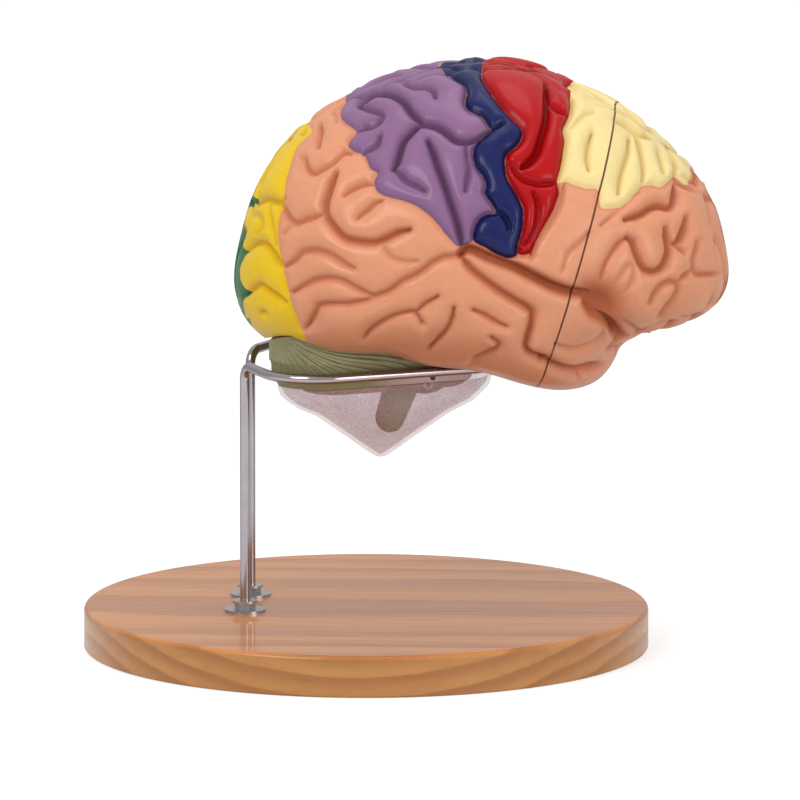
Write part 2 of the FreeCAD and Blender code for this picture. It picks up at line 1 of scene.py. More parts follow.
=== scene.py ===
# %% [markdown]
# # A coloured teaching brain on a wire stand
# The real object is a set of hollow plastic casts, painted by hand and varnished, that rests in
# the ring of a chromed wire stand on a round wooden board. The imported model gives every piece
# at its real size. This file gives the pieces their looks, so it starts from that frame.

# %% Load the frame
import math
import bmesh
import bpy
import numpy as np
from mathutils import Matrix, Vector
from mathutils.geometry import delaunay_2d_cdt


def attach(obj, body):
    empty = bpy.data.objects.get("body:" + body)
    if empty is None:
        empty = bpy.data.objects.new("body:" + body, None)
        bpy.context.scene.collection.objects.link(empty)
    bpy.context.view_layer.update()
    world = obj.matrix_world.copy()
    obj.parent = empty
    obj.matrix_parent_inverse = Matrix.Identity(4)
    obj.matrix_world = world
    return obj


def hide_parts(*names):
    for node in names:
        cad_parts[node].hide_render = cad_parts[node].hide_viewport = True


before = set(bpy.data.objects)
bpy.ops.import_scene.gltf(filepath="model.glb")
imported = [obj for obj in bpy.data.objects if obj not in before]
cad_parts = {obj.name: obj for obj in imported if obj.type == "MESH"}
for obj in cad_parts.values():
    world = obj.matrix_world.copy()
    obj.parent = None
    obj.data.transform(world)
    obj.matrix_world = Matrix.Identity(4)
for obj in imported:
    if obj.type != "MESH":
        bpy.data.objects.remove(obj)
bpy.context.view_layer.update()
MM = 0.001

# %% [markdown]
# ## Camera, floor and light
# The photograph looks at the right side of the brain from 10 degrees above and 3 degrees to the
# front, from far away, so a long lens is used. The floor runs past the frame on every side. It
# is white for the camera and keeps the shadow. One large soft lamp lights the model from the
# upper left, a weaker one fills from the right, and the pale world gives the rest.

# %% Camera, floor and lamps
VIEW_TILT = math.radians(10.0)
VIEW_TURN = math.radians(3.3)
CAMERA_AIM = np.array([0.0207, 0.0, 0.1524])
CAMERA_DISTANCE = 12.0
CAMERA_LENS = 885.0
CAMERA_REACH = 50.0


def spherical(turn, tilt):
    """Unit vector towards a point seen from the right side, turned to the front and raised."""
    return np.array([math.sin(turn) * math.cos(tilt), -math.cos(turn) * math.cos(tilt),
                     math.sin(tilt)])


def aimed(thing, place, aim):
    """Puts a camera or lamp at a place, looking at an aim."""
    thing.location = place
    thing.rotation_euler = Vector(aim - place).to_track_quat("-Z", "Y").to_euler()


def linked(name, data):
    """New object in the scene with the given data."""
    thing = bpy.data.objects.new(name, data)
    bpy.context.scene.collection.objects.link(thing)
    return thing


camera = linked("camera", bpy.data.cameras.new("camera"))
camera.data.lens = CAMERA_LENS
camera.data.clip_end = CAMERA_REACH
aimed(camera, CAMERA_AIM + spherical(VIEW_TURN, VIEW_TILT) * CAMERA_DISTANCE, CAMERA_AIM)
bpy.context.scene.camera = camera
bpy.context.scene.view_settings.view_transform = "Standard"

LAMPS = [("key", (-1.3, -1.9, 1.9), 1.6, 34.0), ("fill", (2.0, -1.5, 0.7), 1.4, 17.0),
         ("top", (0.2, 0.6, 2.4), 1.6, 9.0)]
for name, place, size, watts in LAMPS:
    lamp = linked(name, bpy.data.lights.new(name, "AREA"))
    lamp.data.shape = "DISK"
    lamp.data.size = size
    lamp.data.energy = watts
    aimed(lamp, np.array(place), CAMERA_AIM)
print("camera at", [round(v, 3) for v in camera.location])

# %% [markdown]
# ## A short way to build materials
# A material is a small tree of nodes. These helpers add a node, set what is fixed and link what
# comes from another node, so that each finish reads as a list of what it is made of. Patterns
# have their scale in cycles per metre, and a smooth step turns any value into a share.

# %% Material helpers
def plug(tree, socket, value):
    """Links a socket to the output that is given, or else sets its value."""
    if isinstance(value, bpy.types.NodeSocket):
        tree.links.new(value, socket)
    else:
        socket.default_value = value


def add(tree, kind, inputs=None, **settings):
    """New node of a kind. Inputs are values or sockets by name or number; settings are fields."""
    node = tree.nodes.new("ShaderNode" + kind)
    for field, value in settings.items():
        setattr(node, field, value)
    for key, value in (inputs or {}).items():
        plug(tree, node.inputs[key], value)
    return node


def maths(tree, operation, *values, clamp=False):
    """Result of one Math node."""
    return add(tree, "Math", dict(enumerate(values)), operation=operation,
               use_clamp=clamp).outputs[0]


def times(tree, first, second):
    """Product of two values."""
    return maths(tree, "MULTIPLY", first, second)


def axis(tree, place, letter):
    """The X, Y or Z of a vector."""
    return add(tree, "SeparateXYZ", {0: place}).outputs[letter]


def mixed(tree, share, under, over, blend="MIX"):
    """Two colours mixed by a share."""
    return add(tree, "Mix", {"Factor": share, 6: under, 7: over}, data_type="RGBA",
               blend_type=blend).outputs[2]


def ranged(tree, value, low, high, to_low=0.0, to_high=1.0):
    """Value carried from one range to another, held at its ends, along a smooth step."""
    return add(tree, "MapRange", {"Value": value, "From Min": low, "From Max": high,
                                  "To Min": to_low, "To Max": to_high},
               interpolation_type="SMOOTHSTEP").outputs[0]


def noise(tree, vector, scale, detail=2.0, rough=0.5, stretch=None):
    """Value of a noise pattern on a vector, with a scale in cycles per metre."""
    if stretch is not None:
        vector = add(tree, "Mapping", {"Vector": vector, "Scale": stretch}).outputs[0]
    return add(tree, "TexNoise", {"Vector": vector, "Scale": scale, "Detail": detail,
                                  "Roughness": rough}).outputs["Fac"]


def bumped(tree, height, strength, distance):
    """Normal tilted by a height pattern."""
    return add(tree, "Bump", {"Height": height, "Strength": strength,
                              "Distance": distance}).outputs[0]


def finish_material(name, make):
    """Material whose Principled shader takes what make(tree, object coordinates) returns."""
    material = bpy.data.materials.new(name)
    material.use_nodes = True
    tree = material.node_tree
    place = add(tree, "TexCoord").outputs["Object"]
    for key, value in make(tree, place).items():
        plug(tree, tree.nodes["Principled BSDF"].inputs[key], value)
    return material


def srgb(red, green, blue):
    """Linear colour of a screen colour from 0 to 255."""
    share = np.array([red, green, blue]) / 255.0
    linear = np.where(share <= 0.04045, share / 12.92, ((share + 0.055) / 1.055) ** 2.4)
    return (*linear.tolist(), 1.0)


print("mid grey on screen is", round(srgb(128, 128, 128)[0], 3), "in light")

# %% [markdown]
# ## The floor and the world
# A strength of 1 is white. Only what the camera, a mirror or clear plastic sees of the floor is
# lifted to white, so the object itself gets no more light from it. Polished metal needs
# something dark to mirror, so the floor behind the model is lifted less for mirrors.

# %% Floor and world
FLOOR_HALF = 9.0
FLOOR_DROP = 0.2 * MM
FLOOR_LIFT = 0.6


def grey(tree, value):
    """Grey of a brightness."""
    return add(tree, "CombineColor", {0: value, 1: value, 2: value}).outputs[0]


def seen_directly(tree):
    """1 for what the camera sees, also through clear plastic, and 0 for all other light."""
    path = add(tree, "LightPath").outputs
    return maths(tree, "MAXIMUM", path["Is Camera Ray"], path["Is Transmission Ray"])


def floor_finish(tree, place):
    """Grey paper that glows just enough to be seen white, and less for mirrors behind."""
    mirror = times(tree, add(tree, "LightPath").outputs["Is Glossy Ray"],
                   ranged(tree, axis(tree, place, "Y"), -0.35, 0.55, 0.62, 0.05))
    lift = maths(tree, "MAXIMUM", times(tree, seen_directly(tree), FLOOR_LIFT), mirror)
    return {"Base Color": (0.5, 0.5, 0.5, 1), "Roughness": 0.9, "Specular IOR Level": 0.1,
            "Emission Color": grey(tree, lift), "Emission Strength": 1.0}


floor_mesh = bpy.data.meshes.new("floor")
floor_mesh.from_pydata([(x * FLOOR_HALF, y * FLOOR_HALF, -FLOOR_DROP)
                        for x, y in ((-1, -1), (1, -1), (1, 1), (-1, 1))], [], [(0, 1, 2, 3)])
floor = linked("floor", floor_mesh)
floor_mesh.materials.append(finish_material("floor_paper", floor_finish))

world = bpy.data.worlds.new("studio")
bpy.context.scene.world = world
world.use_nodes = True
sky = world.node_tree
upward = axis(sky, add(sky, "TexCoord").outputs["Generated"], "Z")
shade = maths(sky, "MAXIMUM", ranged(sky, upward, -0.1, 0.6, 0.52, 0.76), seen_directly(sky))
sky.links.new(grey(sky, shade), sky.nodes["Background"].inputs["Color"])
print("floor", floor.dimensions[:2])

# %% [markdown]
# ## Meshes from arrays
# A new piece is a set of points in an array and a set of faces that index them. Lists would be
# slow for a hundred thousand points, so the arrays go straight into the mesh and come back the
# same way. A grid of points needs one quad for each cell, and a closed loop also joins its last
# column to its first. A value stored at each point is what a material can read later.

# %% Mesh helpers
def mesh_object(name, points, *faces):
    """Object with the given points, in metres, and arrays of faces as rows of point numbers."""
    mesh = bpy.data.meshes.new(name)
    mesh.vertices.add(len(points))
    mesh.vertices.foreach_set("co", np.ascontiguousarray(points, np.float32).ravel())
    corners = np.concatenate([rows.ravel() for rows in faces]).astype(np.int32)
    sizes = np.concatenate([np.full(len(rows), rows.shape[1]) for rows in faces])
    mesh.loops.add(len(corners))
    mesh.loops.foreach_set("vertex_index", corners)
    mesh.polygons.add(len(sizes))
    mesh.polygons.foreach_set("loop_start", (np.cumsum(sizes) - sizes).astype(np.int32))
    mesh.update(calc_edges=True)
    return linked(name, mesh)


def grid_quads(rows, columns, closed=False):
    """Quads of a grid of points numbered row by row; a closed grid joins its row ends."""
    row = np.arange(rows - 1)[:, None] * columns
    column = np.arange(columns if closed else columns - 1)
    here, right = (row + column).ravel(), (row + (column + 1) % columns).ravel()
    return np.stack([here, right, right + columns, here + columns], axis=1)


def read(items, field, width=1, kind=np.float32):
    """One field of all the points, corners or faces of a mesh, as an array."""
    values = np.empty(len(items) * width, kind)
    items.foreach_get(field, values)
    return values.reshape(-1, width) if width > 1 else values


def store(mesh, name, values):
    """Stores a value at each point of a mesh."""
    mesh.attributes.new(name, "FLOAT", "POINT").data.foreach_set(
        "value", values.astype(np.float32))


def smooth_step(low, high, value):
    """0 below low, 1 above high, and the curve 3t*t - 2t*t*t between them."""
    t = np.clip((value - low) / (high - low), 0.0, 1.0)
    return t * t * (3.0 - 2.0 * t)


def cubic(before, here, after, later, t):
    """Smooth way from here to after as t goes from 0 to 1; the outer two give the slopes."""
    return 0.5 * (2 * here + (after - before) * t
                  + (2 * before - 5 * here + 4 * after - later) * t ** 2
                  + (3 * here - before - 3 * after + later) * t ** 3)


print("a grid of 3 by 4 points has", len(grid_quads(3, 4)), "quads")

# %% [markdown]
# ## The shape of a hemisphere
# A hemisphere is a dome over its side outline. The outline is given by its radius every 15
# degrees about a middle point. The dome is one smooth spline surface over a square net of
# control points, squeezed to a disc so that it has no pole at its widest point. The same net
# made the solid, so the painted skin lies on it exactly.

# %% Hemisphere surface
BRAIN_MIDDLE = np.array([69.5, 250.0]) * MM
OUTLINE_RADII = np.array([152.5, 146, 131, 122, 116, 118, 116.5, 116.5, 120.5, 124, 135.5, 144,
                          149.5, 157, 134, 88, 82, 76.5, 75.5, 84.5, 102.5, 113.5, 106,
                          155]) * MM
HALF_WIDTH = 118.0 * MM
FRONT_NARROWING = 0.09
RIM_ROUNDING = 5.0 * MM
RIM_Y = 0.15 * MM
TOP_FULLNESS, BOTTOM_FULLNESS = 2.3, 3.2
NET = 15
SKIN_GRID = 300


def outline_radius(turn):
    """Cubic through the listed radii at a turn in radians, as a wheel that closes on itself."""
    place = (turn / (2 * math.pi) % 1.0) * len(OUTLINE_RADII)
    step = place.astype(int)
    near = [OUTLINE_RADII[(step + k) % len(OUTLINE_RADII)] for k in (-1, 0, 1, 2)]
    return cubic(*near, place - step)


def dome_net():
    """Control points of a square squeezed to a disc: y = width * sqrt(1 - share ** fullness)."""
    steps = np.linspace(-1, 1, NET)
    a, b = np.meshgrid(steps, steps, indexing="ij")
    across, along = np.sin(a * math.pi / 2), np.sin(b * math.pi / 2)
    x = across * np.sqrt(1 - along ** 2 / 2)
    z = along * np.sqrt(1 - across ** 2 / 2)
    rim = np.maximum(abs(a), abs(b)) > 0.999
    share = np.where(rim, 1.0, np.hypot(x, z))
    turn = np.arctan2(z, x)
    fullness = BOTTOM_FULLNESS + (TOP_FULLNESS - BOTTOM_FULLNESS) * (0.5 + 0.5 * np.sin(turn))
    height = np.sqrt(np.maximum(0, 1 - share ** fullness))
    radius = outline_radius(turn) * share - np.where(rim, RIM_ROUNDING * (1 + np.sin(turn)) / 2, 0)
    px = BRAIN_MIDDLE[0] + radius * np.cos(turn)
    pz = BRAIN_MIDDLE[1] + radius * np.sin(turn)
    width = HALF_WIDTH - FRONT_NARROWING * np.maximum(0, px - BRAIN_MIDDLE[0])
    return np.stack([px, -RIM_Y - (width - RIM_Y) * height, pz], axis=-1)


def spline_weights(places, count):
    """Shares of the control points at each place from 0 to 1, for a cubic clamped at both ends."""
    spans = count - 3
    knots = np.concatenate([[0] * 3, np.linspace(0, 1, spans + 1), [1] * 3])
    t = np.clip(places, 0, 1 - 1e-12)[:, None]
    weights = ((knots[:-1] <= t) & (t < knots[1:])).astype(float)
    for degree in (1, 2, 3):
        rise = knots[degree:] - knots[:-degree]
        safe = np.where(rise > 0, rise, 1.0)
        ramp = np.where(rise > 0, (t - knots[:-degree]) / safe, 0.0)
        weights = weights[:, :-1] * ramp[:, :-1] + weights[:, 1:] * (1 - ramp[:, 1:]) * (
            rise[1:] > 0)
    return weights


def hemisphere_skin():
    """Grid of points of the right hemisphere and its outward normals."""
    weights = spline_weights(np.linspace(0, 1, SKIN_GRID), NET)
    points = np.einsum("ia,jb,abk->ijk", weights, weights, dome_net())
    normal = np.cross(np.gradient(points, axis=1), np.gradient(points, axis=0))
    normal /= np.maximum(np.linalg.norm(normal, axis=-1, keepdims=True), 1e-12)
    if normal[SKIN_GRID // 2, SKIN_GRID // 2, 1] > 0:
        normal = -normal
    return points, normal


skin, skin_normal = hemisphere_skin()
print("hemisphere from", skin.min(axis=(0, 1)).round(4), "to", skin.max(axis=(0, 1)).round(4))

# %% [markdown]
# ## The grooves of the cortex
# The sulci are drawn as lines on the side view, as an anatomy painter would, and laid
# onto the curved side along the line of sight. That keeps them where the eye expects them.
# The view looks down by 10 degrees and from 3 degrees to the front, so its upright measure is
# z * cos(10) - |y| * sin(10) and its level measure is x - |y| * tan(3.3).

# %% Groove lines in millimetres across and up the side view
DEEP_GROOVES = [
    [(-5, 330), (-2, 334), (4, 338), (12, 338), (18, 336), (23, 332), (27, 326), (31, 322),
     (34, 319), (36, 319), (43, 317), (49, 313), (54, 309), (60, 308), (65, 309), (72, 313),
     (76, 316)],
    [(34, 319), (30, 317), (26, 313), (22, 308), (20, 302), (18, 295), (16, 290)],
    [(37, 308), (40, 301), (43, 292), (46, 284), (49, 275), (52, 266), (55, 257), (57, 248),
     (58, 240)],
    [(110, 345), (111, 337), (111, 329), (110, 320), (107, 310), (104, 301), (99, 295),
     (95, 292)],
    [(158, 261), (164, 263), (169, 265), (173, 268), (179, 270), (185, 269), (188, 271),
     (189, 276), (189, 283)],
    [(159, 250), (163, 247), (165, 241), (168, 234), (171, 230), (176, 229), (180, 231),
     (183, 235), (185, 241), (185, 246), (184, 251), (183, 256)],
    [(189, 246), (192, 249), (195, 256), (196, 263)],
    [(-19, 288), (-22, 282), (-24, 276), (-26, 268), (-25, 261), (-20, 254), (-14, 248),
     (-7, 246), (3, 245), (10, 247), (18, 251), (26, 253)],
    [(57, 238), (61, 232), (66, 227), (74, 221), (81, 216), (89, 211), (96, 207), (101, 203),
     (101, 198), (100, 193), (98, 187), (98, 186), (97, 181), (100, 177), (108, 174), (116, 170),
     (123, 168), (130, 168), (137, 170), (144, 172), (150, 175)],
]
PLAIN_GROOVES = [
    [(-26, 263), (-32, 261), (-38, 259), (-44, 257), (-48, 260), (-51, 265), (-53, 268)],
    [(-51, 230), (-45, 234), (-40, 239), (-32, 240), (-26, 239), (-20, 236), (-14, 232),
     (-8, 229)],
    [(-46, 214), (-38, 219), (-31, 222), (-23, 223), (-14, 221), (-7, 217), (-1, 214), (5, 212)],
    [(-37, 191), (-33, 198), (-31, 203), (-29, 206), (-21, 207), (-12, 207), (-2, 209), (5, 212),
     (13, 215), (21, 221), (29, 225), (35, 229), (40, 233), (46, 236), (52, 237), (57, 238)],
    [(-38, 296), (-37, 291), (-33, 288), (-27, 291), (-21, 295), (-16, 300), (-13, 301),
     (-10, 300)],
    [(-30, 304), (-30, 309), (-29, 314), (-29, 318)],
    [(-14, 274), (-11, 277), (-7, 279), (-2, 281), (3, 281)],
    [(-6, 260), (-3, 263), (1, 266), (4, 269), (9, 271)],
    [(-68, 268), (-65, 271), (-62, 272), (-58, 271), (-54, 270), (-51, 272)],
    [(-74, 240), (-70, 244), (-65, 245), (-61, 242), (-57, 237), (-54, 232), (-51, 230)],
    [(-74, 213), (-70, 217), (-66, 219), (-62, 216), (-56, 212), (-50, 208)],
    [(16, 290), (20, 287), (24, 283), (30, 280), (35, 277)],
    [(-5, 329), (0, 328), (6, 326), (9, 324), (7, 320), (2, 317), (-3, 316), (-6, 314)],
    [(8, 311), (6, 306), (2, 303), (-3, 300)],
    [(15, 346), (22, 345), (29, 342), (36, 342), (41, 339), (42, 335)],
    [(60, 307), (61, 298), (62, 291), (61, 284), (60, 277)],
    [(76, 316), (80, 318), (83, 320)],
    [(79, 266), (83, 263), (86, 259), (87, 254)],
    [(111, 334), (114, 331), (118, 328), (124, 325)],
    [(86, 297), (90, 291), (94, 286), (101, 283), (107, 282), (114, 283), (117, 284)],
    [(102, 277), (105, 268), (104, 257), (100, 249), (95, 244)],
    [(138, 314), (136, 307), (135, 298), (136, 291)],
    [(161, 311), (160, 301), (157, 292), (155, 284), (154, 277)],
    [(164, 315), (167, 310), (169, 301), (170, 292), (169, 285)],
    [(178, 308), (180, 301), (182, 291)],
    [(187, 305), (190, 297), (190, 289)],
    [(153, 322), (159, 320), (165, 316), (171, 314), (177, 316), (183, 313), (186, 307)],
    [(121, 282), (119, 272), (115, 263), (110, 255), (105, 247), (102, 239)],
    [(159, 250), (155, 247), (151, 242), (148, 237), (145, 231), (143, 224), (141, 217)],
    [(185, 246), (188, 247), (192, 244), (195, 241)],
    [(173, 209), (176, 215), (180, 220), (185, 223), (190, 222), (191, 218), (188, 212),
     (184, 207), (179, 201)],
    [(192, 224), (195, 227), (199, 230)],
    [(203, 248), (201, 237), (202, 229), (207, 228), (217, 229)],
    [(189, 292), (190, 287), (193, 284), (198, 282), (204, 279), (211, 274), (216, 266)],
    [(130, 168), (129, 163), (128, 157)],
    [(76, 187), (80, 183), (79, 180), (73, 177), (65, 174)],
    [(65, 204), (71, 201), (78, 197), (85, 194)],
    [(53, 205), (52, 199), (49, 192), (44, 186), (38, 180)],
    [(-2, 185), (3, 191), (10, 196), (18, 200), (27, 202), (30, 201), (34, 195)],
    [(30, 202), (35, 207), (43, 212)],
]
FAINT_GROOVES = [
    [(-44, 257), (-48, 254), (-51, 250)],
    [(9, 245), (11, 241), (15, 236), (20, 234), (26, 233), (31, 234)],
    [(-40, 297), (-38, 292), (-37, 289)],
    [(-19, 319), (-19, 323), (-21, 326)],
    [(-71, 261), (-68, 262), (-65, 259), (-65, 254), (-68, 250)],
    [(-64, 201), (-63, 202), (-61, 200)],
    [(-60, 270), (-60, 262), (-58, 253), (-56, 243)],
    [(44, 353), (50, 355), (56, 354), (61, 352)],
    [(54, 356), (61, 356), (66, 353)],
    [(123, 315), (127, 319), (131, 323), (135, 326), (139, 327)],
    [(127, 345), (129, 340), (135, 336), (141, 334)],
    [(157, 332), (165, 327), (173, 322), (180, 317)],
    [(135, 252), (129, 245), (123, 239), (119, 228)],
    [(143, 257), (150, 263), (157, 269), (163, 275), (168, 278)],
    [(148, 215), (152, 222), (156, 228), (159, 232), (161, 233), (163, 231), (163, 226),
     (160, 220), (157, 215)],
    [(148, 212), (146, 206), (144, 200)],
    [(148, 209), (153, 201), (160, 196), (165, 193)],
    [(115, 184), (120, 182), (126, 181), (134, 183), (140, 186), (144, 190), (145, 195)],
]
FISSURE = [
    [(57, 238), (60, 241), (65, 241), (74, 237), (82, 234), (90, 231), (98, 227), (106, 223),
     (114, 219), (123, 216), (131, 215), (136, 214), (135, 209), (139, 202), (145, 198),
     (150, 194), (154, 188)],
]
SEAM_NOTCHES = [[(122, 216), (124, 215)], [(107, 174), (109, 174)]]
print("grooves drawn:", len(DEEP_GROOVES) + len(PLAIN_GROOVES) + len(FAINT_GROOVES))

# %% Distance to the drawn lines
LINE_REACH = 22.0 * MM
TAPER_RUNS = 4.0


def side_view(points):
    """Across and upright places on the tilted side view, the same for both hemispheres."""
    outward = abs(points[..., 1])
    upright = points[..., 2] * math.cos(VIEW_TILT) - outward * math.sin(VIEW_TILT)
    return np.stack([points[..., 0] - outward * math.tan(VIEW_TURN), upright], axis=-1)


def through(points, cuts):
    """Points along a cubic that passes through each point but the first and the last."""
    t = np.linspace(0, 1, cuts, endpoint=False)[:, None]
    return np.vstack([cubic(*four, t) for four in zip(points, points[1:], points[2:],
                                                      points[3:])])


def rounded(line):
    """Open line in millimetres with its corners rounded, in metres."""
    corners = np.array(line, float) * MM
    padded = np.vstack([2 * corners[0] - corners[1], corners, 2 * corners[-1] - corners[-2]])
    return np.vstack([through(padded, 4), corners[-1:]])


def near_box(places, points):
    """Which places lie within reach of the box around some points."""
    return ((places > points.min(axis=0) - LINE_REACH)
            & (places < points.max(axis=0) + LINE_REACH)).all(axis=-1)


def distance_to_run(places, start, end):
    """Distance of each place to a straight run."""
    way = end - start
    along = np.clip(((places - start) @ way) / max(way @ way, 1e-12), 0, 1)
    return np.linalg.norm(places - start - along[..., None] * way, axis=-1)


def groove_distance(places, lines, tip=1.8):
    """Least distance to any line, up to tip times larger near its ends so that it tapers."""
    nearest = np.full(places.shape[:-1], LINE_REACH)
    for points in map(rounded, lines):
        last = len(points) - 2
        close = near_box(places, points)
        here, found = places[close], nearest[close]
        for k, (start, end) in enumerate(zip(points, points[1:])):
            taper = tip - (tip - 1.0) * min(1.0, min(k, last - k) / TAPER_RUNS)
            found = np.minimum(found, distance_to_run(here, start, end) * taper)
        nearest[close] = found
    return nearest


skin_side = side_view(skin)
deep_distance, plain_distance, faint_distance = [
    groove_distance(skin_side, lines) for lines in (DEEP_GROOVES, PLAIN_GROOVES, FAINT_GROOVES)]
fissure_distance = groove_distance(skin_side, FISSURE, tip=1.2)
notch_distance = groove_distance(skin_side, SEAM_NOTCHES, tip=1.0)
print("nearest plain groove: median", round(float(np.median(plain_distance)) / MM, 1), "mm")

# %% [markdown]
# ## Painted areas
# Each functional area is a closed line on the side view. The mesh stores the distance to that
# line, with a sign that says inside or out, and the paint turns it into a crisp edge. A stored
# distance stays smooth between points, so the edge is finer than the mesh. Most edges of the
# paint follow a groove, so the same distances also shape the relief.

# %% Area outlines
BEHIND_POSTCENTRAL = [
    (65, 247), (66, 255), (69, 260), (74, 263), (79, 264), (77, 269), (74, 273), (72, 277),
    (73, 281), (71, 287), (67, 292), (65, 297), (65, 303), (68, 309), (72, 313), (76, 316),
    (74, 319), (72, 323), (68, 326), (63, 328), (60, 332), (60, 336), (61, 340), (60, 344),
    (56, 347), (50, 350), (45, 352), (42, 354), (41, 370)]
CENTRAL_SULCUS = [
    (93, 245), (95, 252), (96, 260), (96, 267), (93, 274), (89, 281), (86, 287), (85, 294),
    (86, 301), (91, 305), (95, 310), (96, 316), (92, 321), (87, 326), (81, 333), (76, 340),
    (72, 346), (70, 351), (71, 355), (72, 370)]
BEFORE_PRECENTRAL = [
    (117, 347), (122, 344), (125, 339), (126, 333), (125, 327), (124, 324), (121, 317),
    (122, 311), (121, 303), (119, 292), (117, 284)]
AREAS = {
    "parietal": [
        (-13, 334), (-16, 329), (-17, 325), (-15, 321), (-10, 317), (-7, 314), (-10, 310),
        (-12, 306), (-9, 302), (-3, 300), (0, 295), (2, 291), (6, 288), (4, 283), (6, 277),
        (11, 274), (18, 272), (25, 270), (33, 266), (40, 260), (46, 253), (52, 246), (56, 243),
        (60, 244), *BEHIND_POSTCENTRAL, (9, 370), (-25, 345)],
    "postcentral": [*BEHIND_POSTCENTRAL, *CENTRAL_SULCUS[::-1], (92, 238), (86, 236), (78, 239),
                    (71, 243)],
    "precentral": [*CENTRAL_SULCUS, (113, 370), *BEFORE_PRECENTRAL, (118, 277), (115, 268),
                   (111, 260), (107, 253), (103, 245), (100, 237), (101, 239), (95, 238),
                   (92, 240)],
    "frontal": [
        *BEFORE_PRECENTRAL, (122, 284), (127, 282), (135, 280), (142, 279), (143, 269),
        (149, 268), (155, 269), (160, 272), (165, 278), (169, 282), (175, 283), (181, 282),
        (186, 286), (189, 290), (192, 287), (197, 284), (199, 287), (198, 294), (213, 303),
        (213, 370), (113, 370)],
    "occipital": [
        (-36, 319), (-34, 315), (-35, 312), (-38, 310), (-43, 305), (-46, 298), (-48, 290),
        (-50, 283), (-51, 276), (-52, 268), (-54, 260), (-55, 251), (-54, 242), (-52, 231),
        (-50, 223), (-48, 215), (-46, 206), (-43, 199), (-40, 192), (-37, 187), (-37, 162),
        (-101, 162), (-101, 330), (-40, 330)],
    "occipital_pole": [
        (-70, 275), (-68, 272), (-69, 269), (-72, 267), (-74, 262), (-74, 255), (-75, 248),
        (-75, 242), (-74, 238), (-76, 232), (-77, 226), (-76, 220), (-73, 214), (-75, 209),
        (-74, 204), (-73, 199), (-70, 196), (-70, 162), (-107, 162), (-107, 281), (-71, 281)],
}


def signed_distance(places, corners):
    """Distance to a closed outline: above 0 inside it and below 0 outside it."""
    nearest = np.full(places.shape[:-1], LINE_REACH)
    close = near_box(places, corners)
    here, found = places[close], nearest[close]
    inside = np.zeros(len(here), bool)
    x, v = here[:, 0], here[:, 1]
    for start, end in zip(corners, np.roll(corners, -1, axis=0)):
        found = np.minimum(found, distance_to_run(here, start, end))
        if start[1] != end[1]:
            crosses = (start[1] > v) != (end[1] > v)
            inside ^= crosses & (x < start[0] + (v - start[1]) * (end[0] - start[0])
                                 / (end[1] - start[1]))
    nearest[close] = np.where(inside, found, -found)
    nearest[~close] = -LINE_REACH
    return nearest


def closed_curve(outline):
    """Closed outline in millimetres with its corners rounded, in metres."""
    corners = np.array(outline, float) * MM
    return through(np.vstack([corners[-1:], corners, corners[:2]]), 3)


area_distance = {name: signed_distance(skin_side, closed_curve(outline))
                 for name, outline in AREAS.items()}
print("share of the side in each area:",
      {name: round(float((d > 0).mean()), 2) for name, d in area_distance.items()})

# %% [markdown]
# ## Grooves that the side view can't draw
# The top, the ends and the underside face away from that view, so lines projected there would
# smear. There the cortex gets a maze of folds instead. Many waves of one length in random
# directions add up to a field whose zero line wanders in just the way that gyri do, and the
# distance to that line is about the field divided by its slope along the surface.

# %% Maze of folds
FOLD_LENGTH = 31.0 * MM
FOLD_WAVES = 40
rng = np.random.default_rng(7)
wave_directions = rng.normal(size=(FOLD_WAVES, 3))
wave_directions *= 2 * math.pi / FOLD_LENGTH / np.linalg.norm(wave_directions, axis=1,
                                                              keepdims=True)
wave_starts = rng.uniform(0, 2 * math.pi, FOLD_WAVES)


def maze_distance(points, normals):
    """Distance to the zero line of the summed waves, measured along the surface."""
    phase = points @ wave_directions.T + wave_starts
    value = np.cos(phase).sum(axis=-1)
    slope = -np.sin(phase) @ wave_directions
    slope -= (slope * normals).sum(axis=-1, keepdims=True) * normals
    return abs(value) / np.maximum(np.linalg.norm(slope, axis=-1), 1.0)


maze = maze_distance(skin, skin_normal)
print("nearest fold of the maze: median", round(float(np.median(maze)) / MM, 1), "mm")

# %% [markdown]
# ## Depth of the relief
# A groove has a sharp bottom, steep sides and wide round shoulders that meet the next groove, so
# that the gyri between them bulge. Each kind of line gets its own depth and width.

# %% Depth
SHOULDER_DEPTH, SHOULDER_WIDTH = 1.7 * MM, 6.0 * MM
# Depth at which a groove takes its full painted shade and brown wash
FULL_SHADE_AND_WASH_DEPTH = 4.2 * MM
RECESS_PLACE = np.array([140.0, 206.0]) * MM
RECESS_DEPTH, RECESS_WIDTH = 11.0 * MM, 15.0 * MM
POLE_EDGE = np.array([(94, 217), (123, 213), (132, 210), (136, 206), (139, 202), (142, 197),
                      (148, 195), (153, 193), (157, 187), (160, 150), (94, 150)]) * MM


def groove_profile(distance, deep, width):
    """Depth that falls from the groove's bottom as exp(-(distance / width) ** 1.7)."""
    return deep * MM * np.exp(-(distance / (width * MM)) ** 1.7)


def shoulder(distance):
    """Wide bell: the round shoulders beside a groove."""
    return SHOULDER_DEPTH * np.exp(-(distance / SHOULDER_WIDTH) ** 2)


def shade_and_wash_share(slit):
    """How much of the brown wash and painted shade a groove of some depth holds, from 0 to 1."""
    return np.clip(slit / FULL_SHADE_AND_WASH_DEPTH, 0, 1) ** 1.7


def edge_distance(*names):
    """Distance to the nearest edge of some areas, on either side of it."""
    return np.min([abs(area_distance[name]) for name in names], axis=0)


